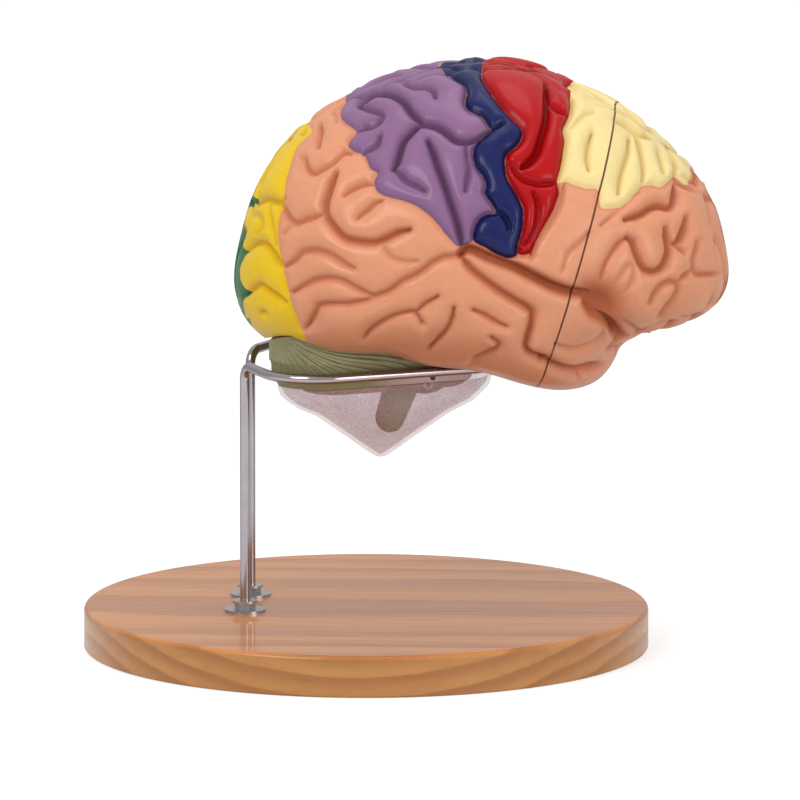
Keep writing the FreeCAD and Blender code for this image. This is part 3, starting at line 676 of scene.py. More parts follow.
# Distance, then depth, width and where the shoulder starts, in millimetres (None: no shoulder)
GROOVE_KINDS = [
    (deep_distance, 4.4, 2.4, 0.0), (plain_distance, 3.0, 1.9, 0.0),
    (faint_distance, 1.6, 1.7, 3.0), (fissure_distance, 8.5, 2.9, 0.0),
    (notch_distance, 7.0, 2.2, None),
    (edge_distance("postcentral", "precentral"), 3.2, 2.0, 0.0),
    (edge_distance("parietal", "frontal"), 1.6, 1.7, 1.0),
    (edge_distance("occipital"), 0.9, 1.4, 3.0)]
slits = np.max([groove_profile(distance, deep, width)
                for distance, deep, width, _ in GROOVE_KINDS], axis=0)
valleys = np.min([distance + off * MM for distance, _, _, off in GROOVE_KINDS
                  if off is not None], axis=0)
print("deepest slit:", round(float(slits.max()) / MM, 1), "mm")

# %% [markdown]
# ## The recess before the temporal lobe, and where the drawing ends
# Behind the pole of the temporal lobe the cast is sunk under the frontal lobe. That is a round
# dent with one steep side along the lobe's edge. The drawn grooves hold as long as the skin
# faces the side view, and over a narrow band they give way to the maze.

# %% Recess and the two reliefs
RECESS_STEP, RECESS_FORWARD = (-0.5 * MM, 2.2 * MM), (118 * MM, 134 * MM)
RECESS_SHADE_DEPTH = 7.0 * MM
MAZE_DEPTH, MAZE_WIDTH = 3.4, 2.2
DRAWN_FACING = (0.14, 0.36)
beyond_pole = -signed_distance(skin_side, POLE_EDGE)
recess = np.linalg.norm(skin_side - RECESS_PLACE, axis=-1)
recess_depth = RECESS_DEPTH * np.exp(-(recess / RECESS_WIDTH) ** 2) * smooth_step(
    *RECESS_STEP, beyond_pole) * smooth_step(*RECESS_FORWARD, skin_side[..., 0])
side_depth = np.maximum(slits + shoulder(valleys), recess_depth)
maze_slits = groove_profile(maze, MAZE_DEPTH, MAZE_WIDTH)
maze_depth = maze_slits + shoulder(maze)
facing = -skin_normal[..., 1] * math.cos(VIEW_TILT) + skin_normal[..., 2] * math.sin(VIEW_TILT)
drawn = smooth_step(*DRAWN_FACING, facing)
# Painted shade: like the grooves, the recess is painted darker the deeper it is
drawn_share = np.maximum(shade_and_wash_share(slits), np.clip(recess_depth / RECESS_SHADE_DEPTH, 0, 1))
print("deepest drawn place:", round(float(side_depth.max()) / MM, 1), "mm")

# %% [markdown]
# ## Plan of the ring
# The cerebellum fills the ring of the stand, and the brain sits over both. All three share one
# plan, a closed line along the middle of the ring's rod, moved inwards or outwards by an inset.

# %% Plan of the ring
RING_Z = 177.6 * MM
ROD_RADIUS = 3.0 * MM
POST = np.array([-72.5, -26.3]) * MM
RING_CORNER = np.array([-43.0, -86.5]) * MM
RING_CORNER_RADIUS = 34.0 * MM
NOSE_X, NOSE_RADIUS = 85.0 * MM, 36.5 * MM
REAR_X = -59.0 * MM


def arc_points(middle, radius, start, end, count=24):
    """Points of a plan arc from one angle to another in radians."""
    turn = np.linspace(start, end, count)
    return middle + radius * np.stack([np.cos(turn), np.sin(turn)], axis=1)


def ring_plan(inset, count=360):
    """Closed plan inside the ring's centre line by an inset, as evenly spaced points.

    Near side: straight run, round corner, straight run and the nose arc, then its mirror image.
    """
    out = (RING_CORNER - POST) / np.linalg.norm(RING_CORNER - POST)
    nose_middle = np.array([NOSE_X - NOSE_RADIUS, 0])
    gap = nose_middle - RING_CORNER
    angle = math.atan2(gap[1], gap[0]) - math.asin(NOSE_RADIUS / np.linalg.norm(gap))
    along = np.array([math.cos(angle), math.sin(angle)])
    turn = math.acos(out @ along)
    bisector = (along - out) / np.linalg.norm(along - out)
    corner_middle = RING_CORNER + bisector * RING_CORNER_RADIUS / math.cos(turn / 2)
    left = np.array([out[1], -out[0]])
    start = math.atan2(left[1], left[0])
    end = angle - math.pi / 2
    corner_arc = arc_points(corner_middle, RING_CORNER_RADIUS - inset, start, end)
    nose_arc = arc_points(nose_middle, NOSE_RADIUS - inset, end, 0.0)
    line = np.vstack([corner_arc, nose_arc])
    behind = np.flatnonzero(line[:, 0] < REAR_X + inset)
    cut = behind[-1] + 1 if len(behind) else 0
    way = line[cut] - line[cut - 1] if cut else out
    corner = line[cut] + way * (REAR_X + inset - line[cut, 0]) / way[0]
    line = np.vstack([corner, line[cut:]])
    near = np.vstack([[REAR_X + inset, 0], line])
    whole = np.vstack([near, near[-2:0:-1] * [1, -1], near[:1]])
    run = np.concatenate([[0], np.cumsum(np.linalg.norm(np.diff(whole, axis=0), axis=1))])
    even = np.linspace(0, run[-1], count, endpoint=False)
    return np.stack([np.interp(even, run, whole[:, k]) for k in (0, 1)], axis=1)


print("plan from", ring_plan(0.0).min(axis=0).round(4), "to", ring_plan(0.0).max(axis=0).round(4))

# %% [markdown]
# ## The arch over the cerebellum
# The brain is hollow where the cerebellum lies. The hollow's top is part of an ellipsoid, which
# is lowered towards the rear, because there the hem of the real cast comes down behind the ring.
# The reliefs fade out over a narrow band above it, so the hem stays as smooth as on the cast.

# %% Arch and smooth hem
ARCH_MIDDLE = np.array([-45.0, 0.0, 172.0]) * MM
ARCH_HALF = np.array([110.0, 200.0, 36.0]) * MM
REAR_FROM, REAR_TO = -62.0 * MM, -25.0 * MM
REAR_HALF, REAR_DROP = 86.0 * MM, 14.0 * MM
HEM, MAZE_HEM = (1.0 * MM, 9.0 * MM), (10.0 * MM, 26.0 * MM)


def arch_height(x, y, grow=0.0):
    """Height of the ellipsoid over the cerebellum at plan places, lowered towards the rear."""
    half = ARCH_HALF + grow
    share = 1 - ((x - ARCH_MIDDLE[0]) / half[0]) ** 2 - (y / half[1]) ** 2
    drop = REAR_DROP * (1 - smooth_step(REAR_FROM, REAR_TO, x)) * np.maximum(
        0, 1 - (y / REAR_HALF) ** 2)
    return ARCH_MIDDLE[2] + half[2] * np.sqrt(np.maximum(share, 0)) - drop


above_arch = skin[..., 2] - arch_height(skin[..., 0], skin[..., 1])
kept, maze_kept = smooth_step(*HEM, above_arch), smooth_step(*MAZE_HEM, above_arch)
depth = (drawn * side_depth + (1 - drawn) * maze_depth * maze_kept) * kept
# The share of painted shade and brown wash at each point fades with the relief
groove_share = (drawn * drawn_share + (1 - drawn) * shade_and_wash_share(maze_slits) * maze_kept) * kept
print("share of the skin in the smooth hem:", round(float((kept < 0.5).mean()), 3))

# %% [markdown]
# ## One closed hemisphere
# The relief pushes each point of the skin inwards along its normal, never outwards, so the skin
# stays inside the solid. The flat inner face has its own grid of points, joined to the rim of
# the skin by a triangulation of the plane. Each point of the skin also keeps its place in the
# net as a texture coordinate, so that everything measured on the net can be found again after
# the piece has been cut.

# %% Skin with relief and a flat inner face
MEDIAL_GROOVES = [
    [(118, 244), (127, 256), (120, 274), (98, 288), (66, 292), (34, 285), (12, 270), (6, 254)],
    [(112, 250), (110, 262), (94, 274), (66, 279), (36, 272), (20, 260)],
    [(136, 232), (151, 246), (153, 268), (136, 293), (104, 309), (64, 314), (28, 305), (2, 288)],
    [(-2, 258), (-20, 286), (-34, 316)],
    [(-2, 256), (-26, 247), (-50, 250), (-70, 244)],
    [(168, 232), (182, 258), (176, 290), (150, 318), (112, 336)],
    [(96, 336), (86, 318)], [(52, 336), (44, 322)], [(150, 222), (176, 214)],
]
# Depth and width in millimetres of the groove itself and of its shoulders
MEDIAL_PROFILES = ((1.6, 2.2), (0.8, 5.0))
MEDIAL_EDGE = (2.0 * MM, 5.0 * MM)
MEDIAL_STEP = 1.5 * MM
RIM_STEADY = 2.5


def rim_loop(grid):
    """The four edges of a square grid as one closed loop of point numbers."""
    n = grid.shape[0]
    number = np.arange(n * n).reshape(n, n)
    return np.concatenate([number[0, :-1], number[:-1, -1], number[-1, :0:-1], number[:0:-1, 0]])


def filled_plane(rim, step):
    """Points inside a closed rim in a plane, every step, and triangles over rim and points."""
    low, high = rim.min(axis=0), rim.max(axis=0)
    across, up = np.meshgrid(np.arange(low[0], high[0], step), np.arange(low[1], high[1], step))
    inner = np.stack([across.ravel(), up.ravel()], axis=1)
    inner = inner[signed_distance(inner, rim) > 0.6 * step]
    every = np.vstack([rim, inner])
    edges = [(k, (k + 1) % len(rim)) for k in range(len(rim))]
    points, _, faces, *_ = delaunay_2d_cdt([Vector(p) for p in every], edges, [], 1, 1e-7)
    return np.array(points), faces


from_end = np.minimum(np.arange(SKIN_GRID), np.arange(SKIN_GRID)[::-1])
rim_steps = np.minimum(from_end[:, None], from_end).astype(float)
relief = skin - skin_normal * (depth * smooth_step(0, RIM_STEADY, rim_steps))[..., None]
loop = rim_loop(relief)
relief_points = relief.reshape(-1, 3)
rim = relief_points[loop][:, [0, 2]]
flat_points, flat_faces = filled_plane(rim, MEDIAL_STEP)
medial_distance = groove_distance(flat_points, MEDIAL_GROOVES)
medial_edge = smooth_step(*MEDIAL_EDGE, signed_distance(flat_points, rim))
medial_y = -RIM_Y - medial_edge * sum(deep * MM * np.exp(-(medial_distance / (width * MM)) ** 2)
                                      for deep, width in MEDIAL_PROFILES)
print("inner face:", len(flat_points), "points,", len(flat_faces), "triangles")

# %% Closed hemisphere as one object
def outward(piece):
    """Turns all faces of a closed piece outwards."""
    mesh = bmesh.new()
    mesh.from_mesh(piece.data)
    bmesh.ops.remove_doubles(mesh, verts=mesh.verts, dist=1e-7)
    bmesh.ops.recalc_face_normals(mesh, faces=mesh.faces)
    gaps = sum(not edge.is_manifold for edge in mesh.edges)
    mesh.to_mesh(piece.data)
    mesh.free()
    return gaps


def hemisphere_object():
    """Skin quads and inner triangles in one mesh, with the net coordinates on the skin."""
    number = np.full(SKIN_GRID * SKIN_GRID, -1)
    number[loop] = np.arange(len(loop))
    free = number < 0
    number[free] = len(flat_points) + np.arange(free.sum())
    flat = np.column_stack([flat_points[:, 0], medial_y, flat_points[:, 1]])
    quads = grid_quads(SKIN_GRID, SKIN_GRID)
    piece = mesh_object("hemisphere", np.vstack([flat, relief_points[free]]),
                        number[quads], np.array(flat_faces))
    net_place = np.stack([quads // SKIN_GRID, quads % SKIN_GRID], axis=-1) / (SKIN_GRID - 1)
    corners = np.vstack([net_place.reshape(-1, 2), np.full((3 * len(flat_faces), 2), -1.0)])
    layer = piece.data.uv_layers.new(name="net")
    layer.data.foreach_set("uv", corners.astype(np.float32).ravel())
    print("hemisphere faces", len(piece.data.polygons), "open edges", outward(piece))
    return piece


hemisphere = hemisphere_object()

# %% [markdown]
# ## Cutting tools
# The underside is hollow where the cerebellum and the ring sit, and between the temporal lobes.
# Each tool is a block with the plan of the ring, or an ellipsoid, and the pegs need round bores.
# Cutting closed meshes from each other keeps every edge sharp, as the seams of the cast are.

# %% Closed forms over a plan
BODY_MIDDLE = np.array([10.0, 0.0]) * MM
BLOCK_BOTTOM = RING_Z - 60 * MM
# Inset of the sloped seat at the ring's height, less what its slope gains up to its head
WALL_INSET = (4.2725 - 5.1962) * MM
SEAT_GAP = 0.4 * MM
RING_CLEAR = ROD_RADIUS + SEAT_GAP


def stacked_rings(name, rings):
    """Closed surface through rings of points, from a point ring at the bottom to one on top."""
    piece = mesh_object(name, np.vstack(rings), grid_quads(len(rings), len(rings[0]), closed=True))
    outward(piece)
    return piece


def shrunk(ring, share, height):
    """Ring drawn in towards the middle by a share, at a height given over the plan."""
    flat = BODY_MIDDLE + (ring[:, :2] - BODY_MIDDLE) * share
    return np.column_stack([flat, np.broadcast_to(height(flat), len(flat))])


def block_over_plan(name, inset, top):
    """Block with upright walls on a plan and a top surface given by height over the plan."""
    outline = ring_plan(inset, 160)
    rings = [shrunk(outline, share, lambda flat: BLOCK_BOTTOM) for share in (0.0, 1.0)]
    rings += [shrunk(outline, share, top)
              for share in (1.0, 0.85, 0.7, 0.55, 0.4, 0.25, 0.12, 0.0)]
    return stacked_rings(name, rings)


seat_tool = block_over_plan("seat_tool", WALL_INSET - SEAT_GAP,
                            lambda flat: arch_height(flat[:, 0], flat[:, 1], SEAT_GAP))
channel_tool = block_over_plan("channel_tool", -RING_CLEAR,
                               lambda flat: RING_Z + ROD_RADIUS + SEAT_GAP)
print("tools over the ring plan:", seat_tool.dimensions[:], channel_tool.dimensions[:])

# %% Hollow between the temporal lobes, and peg bores
CORONAL_POINT = np.array([126.0, 0.0, 250.0]) * MM
CORONAL_TURN, CORONAL_LEAN = math.radians(4.5), math.radians(16.5)
CORONAL_NORMAL = np.array([1.0, math.tan(CORONAL_TURN), -math.tan(CORONAL_LEAN)])
CORONAL_NORMAL /= np.linalg.norm(CORONAL_NORMAL)
PULL = np.array([math.cos(CORONAL_LEAN), 0.0, -math.sin(CORONAL_LEAN)])
ACROSS = np.array([0.0, -1.0, 0.0])
HOLLOW_MIDDLE = np.array([110.0, 0.0, 168.0]) * MM
HOLLOW_HALF = np.array([65.0, 38.0, 26.0]) * MM
BORE_RADIUS, BORE_REACH = 4.3 * MM, 14.5 * MM
MIDLINE_BORES = [(10.0, 305.0), (62.0, 244.0)]
SEAM_BORES = [(-42.0, 300.0), (-62.0, 222.0)]


def ball(middle, half, turns=96):
    """Rings of an ellipsoid: each ring is half * (cos u cos t, cos u sin t, sin u)."""
    turn = np.linspace(0, 2 * math.pi, turns, endpoint=False)
    rings = []
    for up in np.linspace(-math.pi / 2, math.pi / 2, turns // 2):
        rings.append(middle + half * np.stack([math.cos(up) * np.cos(turn),
                                               math.cos(up) * np.sin(turn),
                                               np.full(turns, math.sin(up))], axis=1))
    return rings


def rod_rings(start, end, radius, turns=40):
    """Rings of a straight round rod with flat ends."""
    way = (end - start) / np.linalg.norm(end - start)
    side = np.cross(way, [0.0, 0.0, 1.0])
    side /= np.linalg.norm(side)
    up = np.cross(way, side)
    turn = np.linspace(0, 2 * math.pi, turns, endpoint=False)[:, None]
    around = np.cos(turn) * side + np.sin(turn) * up
    return [start + around * 0, start + around * radius, end + around * radius, end + around * 0]


def coronal_place(y, z):
    """Point of the coronal cut of the right hemisphere."""
    lean = (z - CORONAL_POINT[2]) * CORONAL_NORMAL[2] + y * CORONAL_NORMAL[1]
    return np.array([CORONAL_POINT[0] - lean / CORONAL_NORMAL[0], y, z])


def bore(place, way):
    """Tool for a peg's bore, on both sides of a place along a direction."""
    return stacked_rings("bore_tool", rod_rings(place - way * BORE_REACH,
                                                place + way * BORE_REACH, BORE_RADIUS))


hollow_tool = stacked_rings("hollow_tool", ball(HOLLOW_MIDDLE, HOLLOW_HALF))
tools = [seat_tool, channel_tool, hollow_tool]
tools += [bore(np.array([x, 0.0, z]) * MM, ACROSS) for x, z in MIDLINE_BORES]
tools += [bore(coronal_place(y * MM, z * MM), PULL) for y, z in SEAM_BORES]
print(len(tools), "cutting tools")

# %% [markdown]
# ## Cutting the hemisphere
# Each tool is taken out of the closed hemisphere by a Boolean modifier, and the result is kept
# as a plain mesh. Then the coronal plane splits it in two with a fine gap, and each open cut is
# closed with a flat face.

# %% Boolean cuts
HALF_SEAM = 0.15 * MM
OFF_NET = (-1.0, -1.0)


def cut_away(piece, cutters, operation="DIFFERENCE"):
    """Cuts a piece with each cutter and keeps the result as its mesh."""
    for cutter in cutters:
        step = piece.modifiers.new(cutter.name, "BOOLEAN")
        step.operation = operation
        step.solver = "MANIFOLD"
        step.object = cutter
    seen = piece.evaluated_get(bpy.context.evaluated_depsgraph_get())
    result = bpy.data.meshes.new_from_object(seen)
    piece.modifiers.clear()
    piece.data = result
    for cutter in cutters:
        bpy.data.objects.remove(cutter)


def split_off(piece, name, side):
    """Copy of the part of a piece on one side of the coronal cut, half a seam gap from it."""
    mesh = bmesh.new()
    mesh.from_mesh(piece.data)
    place = CORONAL_POINT + CORONAL_NORMAL * side * HALF_SEAM
    found = bmesh.ops.bisect_plane(mesh, geom=mesh.verts[:] + mesh.edges[:] + mesh.faces[:],
                                   plane_co=place, plane_no=CORONAL_NORMAL,
                                   clear_inner=side > 0, clear_outer=side < 0)
    rim = [e for e in found["geom_cut"] if isinstance(e, bmesh.types.BMEdge)]
    filled = bmesh.ops.triangle_fill(mesh, edges=rim, use_beauty=True,
                                     normal=CORONAL_NORMAL * -side)
    net_place = mesh.loops.layers.uv["net"]
    for face in filled["geom"]:
        if isinstance(face, bmesh.types.BMFace):
            for corner in face.loops:
                corner[net_place].uv = OFF_NET
    data = bpy.data.meshes.new(name)
    mesh.to_mesh(data)
    mesh.free()
    return linked(name, data)


cut_away(hemisphere, tools)
right_front = split_off(hemisphere, "right_front_painted", 1)
right_rear = split_off(hemisphere, "right_rear_painted", -1)
bpy.data.objects.remove(hemisphere)
for piece in (right_front, right_rear):
    print(piece.name, "faces", len(piece.data.polygons), "open edges", outward(piece))

# %% [markdown]
# ## Measures that the paint reads
# The paint needs to know how near each point is to a groove and to the edge of each area. The
# net coordinates tell where on the net a point lies, so the values are read from the net.

# %% Attributes from the net
# groove and hollow set how much painted shade and brown wash each point takes
fields = {"groove": groove_share, "hollow": np.clip(depth / (5.0 * MM), 0, 1), **area_distance}


def on_net(values, u, v):
    """Value at net coordinates from 0 to 1, straight between the four nearest points."""
    x, y = u * (SKIN_GRID - 1), v * (SKIN_GRID - 1)
    i = np.clip(x.astype(int), 0, SKIN_GRID - 2)
    j = np.clip(y.astype(int), 0, SKIN_GRID - 2)
    s, t = x - i, y - j
    return ((values[i, j] * (1 - s) + values[i + 1, j] * s) * (1 - t)
            + (values[i, j + 1] * (1 - s) + values[i + 1, j + 1] * s) * t)


def mark_piece(piece):
    """Stores each field at the points of the skin, and paints cut and inner faces apart."""
    data = piece.data
    data.materials.clear()
    corners = read(data.uv_layers["net"].data, "uv", 2)
    owner = read(data.loops, "vertex_index", kind=np.int32)
    seam = abs((read(data.vertices, "co", 3) - CORONAL_POINT) @ CORONAL_NORMAL)
    store(data, "seam", seam)
    on_skin = corners[:, 0] > -0.01
    place = np.full((len(data.vertices), 2), -1.0)
    place[owner[on_skin]] = corners[on_skin]
    known = place[:, 0] >= 0
    for name, values in fields.items():
        result = np.full(len(data.vertices), -1.0 if name in AREAS else 0.0, np.float32)
        result[known] = on_net(values, place[known, 0], place[known, 1])
        store(data, name, result)
    start = read(data.polygons, "loop_start", kind=np.int32)
    off_cut = np.maximum.reduceat(seam[owner], start) > 2 * HALF_SEAM
    painted = on_skin[start] & off_cut
    data.polygons.foreach_set("material_index", np.where(painted, 0, 1).astype(np.int32))
    data.polygons.foreach_set("use_smooth", painted)
    data.update()
    print(piece.name, "points on the skin:", int(known.sum()))


for piece in (right_front, right_rear):
    mark_piece(piece)

# %% [markdown]
# ## Paint of the cortex
# The cast is sprayed in a flesh tone, its areas are painted by hand, a brown wash is left in
# the grooves, and a satin varnish covers all. The grooves and the wide hollows beside them are
# also painted darker, as painted shade. The paint edge is a distance that turns over within half
# a millimetre, with a little noise for the brush. Rounded crests are a little lighter, because
# the painted shade and the wash stay in the hollows.

# %% Paint groups
PAINT_EDGE = 0.3 * MM
# Painted shade: tint of the deepest grooves, and share of the darkening in wide hollows
DEEPEST_SHADE_AND_WASH_TINT = (0.62, 0.55, 0.55, 1)
WIDE_SHADE_AND_WASH = 0.42


def node_group(name, inputs, outputs):
    """Empty shader node group with named sockets."""
    tree = bpy.data.node_groups.new(name, "ShaderNodeTree")
    for way, sockets in (("INPUT", inputs), ("OUTPUT", outputs)):
        for key, kind in sockets.items():
            tree.interface.new_socket(key, in_out=way, socket_type="NodeSocket" + kind)
    return tree, tree.nodes.new("NodeGroupInput").outputs, tree.nodes.new("NodeGroupOutput")


def brushed_area():
    """Colour laid over another where a distance is above 0, with a brushed edge."""
    tree, given, out = node_group("brushed_area", {
        "Under": "Color", "Paint": "Color", "Distance": "Float", "Wobble": "Float"},
        {"Colour": "Color"})
    moved = maths(tree, "ADD", given["Distance"], given["Wobble"])
    share = ranged(tree, moved, -PAINT_EDGE, PAINT_EDGE)
    plug(tree, out.inputs["Colour"], mixed(tree, share, given["Under"], given["Paint"]))
    return tree


def shade_and_wash():
    """Painted shade and brown wash in grooves: the colour times itself, by narrow and wide depth.
    """
    tree, given, out = node_group("shade_and_wash", {
        "Colour": "Color", "Groove": "Float", "Hollow": "Float", "Strength": "Float"},
        {"Colour": "Color"})
    deeper = mixed(tree, 1.0, given["Colour"], given["Colour"], "MULTIPLY")
    deepest = mixed(tree, 1.0, deeper, DEEPEST_SHADE_AND_WASH_TINT, "MULTIPLY")
    wide = times(tree, given["Hollow"], times(tree, given["Strength"], WIDE_SHADE_AND_WASH))
    narrow = maths(tree, "MULTIPLY", given["Groove"], given["Strength"], clamp=True)
    shaded = mixed(tree, wide, given["Colour"], deeper)
    plug(tree, out.inputs["Colour"], mixed(tree, narrow, shaded, deepest))
    return tree


BRUSHED_AREA, SHADE_AND_WASH = brushed_area(), shade_and_wash()
print("paint groups:", BRUSHED_AREA.name, "and", SHADE_AND_WASH.name)

# %% Paint of the pieces
AREA_PAINT = {"parietal": srgb(138, 100, 138), "postcentral": srgb(20, 30, 86),
              "precentral": srgb(176, 0, 8), "frontal": srgb(236, 214, 150),
              "occipital": srgb(230, 192, 24), "occipital_pole": srgb(44, 108, 56)}
FLESH, DEEP_FLESH = srgb(226, 156, 121), srgb(214, 144, 108)
# Painted shade in the crack of the coronal seam
SEAM_SHADE = srgb(92, 44, 30)
STREAK_TINT = (0.72, 0.68, 0.66, 1)
BRUSH_WOBBLE = 1.2 * MM


def grouped(tree, group, inputs):
    """Result of a node group with the given inputs."""
    return add(tree, "Group", inputs, node_tree=group).outputs[0]


def attribute(tree, name):
    """Value stored at the points of the mesh."""
    return add(tree, "Attribute", attribute_name=name).outputs["Fac"]


def cortex_finish(tree, place):
    """Flesh tone, brushed areas, wash and painted shade in grooves, painted shade at the seam."""
    colour = mixed(tree, noise(tree, place, 30, 3), FLESH, DEEP_FLESH)
    wobble = times(tree, maths(tree, "SUBTRACT", noise(tree, place, 160, 3), 0.5), BRUSH_WOBBLE)
    for name, paint in AREA_PAINT.items():
        colour = grouped(tree, BRUSHED_AREA, {"Under": colour, "Paint": paint, "Wobble": wobble,
                                              "Distance": attribute(tree, name)})
    streaks = ranged(tree, noise(tree, place, 240, 4), 0.35, 0.75, 0.0, 0.12)
    colour = mixed(tree, streaks, colour, mixed(tree, 1.0, colour, STREAK_TINT, "MULTIPLY"))
    # Painted shade and brown wash: grooves and hollows are darkened by their depth
    groove = attribute(tree, "groove")
    colour = grouped(tree, SHADE_AND_WASH, {"Colour": colour, "Groove": groove,
                                  "Hollow": attribute(tree, "hollow"), "Strength": 0.66})
    # Painted shade along the coronal seam: a dark brown line where the two pieces meet
    seam_shade = ranged(tree, attribute(tree, "seam"), 2 * HALF_SEAM, 6 * HALF_SEAM, 0.95, 0.0)
    return {"Base Color": mixed(tree, seam_shade, colour, SEAM_SHADE),
            "Normal": bumped(tree, noise(tree, place, 900, 2), 0.1, 0.4 * MM),
            "Roughness": ranged(tree, noise(tree, place, 60, 3), 0.3, 0.7, 0.34, 0.44),
            "Specular IOR Level": 0.1, "Coat Roughness": 0.15,
            "Coat Weight": ranged(tree, groove, 0.0, 0.5, 0.24, 0.0),
            "Subsurface Weight": 0.04, "Subsurface Radius": (0.006, 0.003, 0.002),
            "Subsurface Scale": 0.4}


def inner_finish(tree, place):
    """Unvarnished flesh tone of the inner and the cut faces."""
    colour = mixed(tree, noise(tree, place, 22, 3), srgb(222, 168, 138), srgb(212, 152, 120))
    return {"Base Color": colour, "Roughness": 0.5,
            "Normal": bumped(tree, noise(tree, place, 400, 3), 0.15, 0.5 * MM)}


cortex_paint = finish_material("cortex_paint", cortex_finish)
inner_paint = finish_material("inner_face_paint", inner_finish)
for piece in (right_front, right_rear):
    for paint in (cortex_paint, inner_paint):
        piece.data.materials.append(paint)
print("cortex paint has", len(cortex_paint.node_tree.nodes), "nodes")

# %% [markdown]
# ## The left hemisphere
# The two sides of the real cast mirror each other, so the left pieces are mirrored copies.

# %% Mirrored pieces and their bodies
def mirrored(piece, name):
    """Copy with y turned to -y and its faces turned back outwards."""
    data = piece.data.copy()
    points = read(data.vertices, "co", 3) * np.array([1, -1, 1], np.float32)
    data.vertices.foreach_set("co", points.ravel())
    data.flip_normals()
    data.update()
    return linked(name, data)


left_front = mirrored(right_front, "left_front_painted")
left_rear = mirrored(right_rear, "left_rear_painted")
for piece, node, body in ((right_front, "right_front_cortex", "right_front"),
                          (left_front, "left_front_cortex", "left_front"),
                          (right_rear, "right_rear_cortex", "stand_and_rear"),
                          (left_rear, "left_rear_cortex", "left_rear")):
    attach(piece, body)
    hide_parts(node)
    print(piece.name, "rides on", body)

# %% [markdown]
# ## The cerebellum and its folia
# The cerebellum is a low block that fills the ring, with a sloped seat on the rod, upright walls
# and an arched top under the brain. Its surface is combed into fine folia, which fan out from
# the rear. The block is a stack of plan outlines, and each fold is a wave in the angle around
# the fan's middle, pressed inwards so that the block keeps its size.

# %% Folds of the cerebellum
# Inset and height over the ring, in millimetres, of the sloped seat's foot and head
SEAT_LOW, SEAT_HIGH = (8.891, -8.0), (-0.924, 9.0)
UNDERSIDE_DROP = 6.0 * MM
WALL_TOP = RING_Z + 9.6 * MM
FAN_MIDDLE = np.array([-57.0, 206.6]) * MM
FOLIA, FAN_CROWDING = 30.0, 0.75
REAR_FOLD = 2.6 * MM
FOLIA_DEPTH, FOLIA_RISE = 1.1 * MM, 6.0 * MM
REAR_SHARE, REAR_SHARE_TO = 0.15, -40.0 * MM
REAR_TAPER = 4.0 * MM
PLAN_POINTS = 900


def folia_count(points):
    """Number of the fold at a point: angle round the fan at the sides, height at the rear."""
    x, z = points[:, 0] - FAN_MIDDLE[0], FAN_MIDDLE[1] - points[:, 2]
    angle = np.clip(np.degrees(np.arctan2(z, x)), 1, 120)
    wave = 0.5 * np.sin(points[:, 2] / (7 * MM)) + 0.5 * np.sin(points[:, 0] / (11 * MM))
    fan = FOLIA * (angle / 90) ** FAN_CROWDING + wave
    return np.where(x < 0, points[:, 2] / REAR_FOLD, fan)


def folia_ring(inset, height):
    """Outline at an inset in millimetres and heights in metres, pressed inwards by the folds."""
    outline = ring_plan(inset * MM, PLAN_POINTS)
    following = np.roll(outline, -1, axis=0) - np.roll(outline, 1, axis=0)
    inward = np.stack([-following[:, 1], following[:, 0]], axis=1)
    inward /= np.maximum(np.linalg.norm(inward, axis=1, keepdims=True), 1e-12)
    if (inward * (BODY_MIDDLE - outline)).sum() < 0:
        inward = -inward
    ring = np.column_stack([outline, np.broadcast_to(height(outline), len(outline))])
    count = folia_count(ring)
    crease = (0.5 + 0.5 * np.cos(2 * math.pi * count)) ** 2 * (0.65 + 0.35 * np.sin(2.4 * count))
    deep = FOLIA_DEPTH * smooth_step(RING_Z, RING_Z + FOLIA_RISE, ring[:, 2])
    deep *= REAR_SHARE + (1 - REAR_SHARE) * smooth_step(REAR_FROM, REAR_SHARE_TO, outline[:, 0])
    ring[:, :2] += inward * (deep * crease)[:, None]
    ring[:, 0] += REAR_TAPER * (1 - smooth_step(REAR_FROM, REAR_TO, outline[:, 0])) * smooth_step(
        RING_Z - 2 * MM, RING_Z + 8 * MM, ring[:, 2])
    return ring


def top_height(flat):
    """Height of the arched top, held above the walls where the arch comes down in front."""
    return np.maximum(arch_height(flat[:, 0], flat[:, 1]), WALL_TOP)


print("points of one outline:", len(folia_ring(SEAT_HIGH[0], lambda flat: WALL_TOP)))

# %% Block of the cerebellum
# Shares of an outline's own size, for the rings that close the block below and on top
UNDERSIDE_SHARES, UNDERSIDE_BEND = (0.0, 0.4, 0.74), 0.86
TOP_SHARES = (0.95, 0.85, 0.7, 0.55, 0.4, 0.25, 0.1, 0.0)
SEAT_RINGS, WALL_RINGS = 20, 40
seat_z, wall_z = RING_Z + SEAT_LOW[1] * MM, RING_Z + SEAT_HIGH[1] * MM
seat_ring = folia_ring(SEAT_LOW[0], lambda flat: seat_z)
body_rings = [shrunk(seat_ring, share, lambda flat: seat_z - UNDERSIDE_DROP)
              for share in UNDERSIDE_SHARES]
body_rings.append(shrunk(seat_ring, UNDERSIDE_BEND, lambda flat: seat_z))
for t in np.linspace(0, 1, SEAT_RINGS):
    body_rings.append(folia_ring(SEAT_LOW[0] + (SEAT_HIGH[0] - SEAT_LOW[0]) * t,
                                 lambda flat: seat_z + (wall_z - seat_z) * t))
for t in np.linspace(0.02, 1, WALL_RINGS):
    body_rings.append(folia_ring(SEAT_HIGH[0],
                                 lambda flat: wall_z + (top_height(flat) - wall_z) * t))
wall_ring = body_rings[-1]
body_rings += [shrunk(wall_ring, share, top_height) for share in TOP_SHARES]
cerebellum = stacked_rings("cerebellum_folia", body_rings)
print("cerebellum faces:", len(cerebellum.data.polygons))

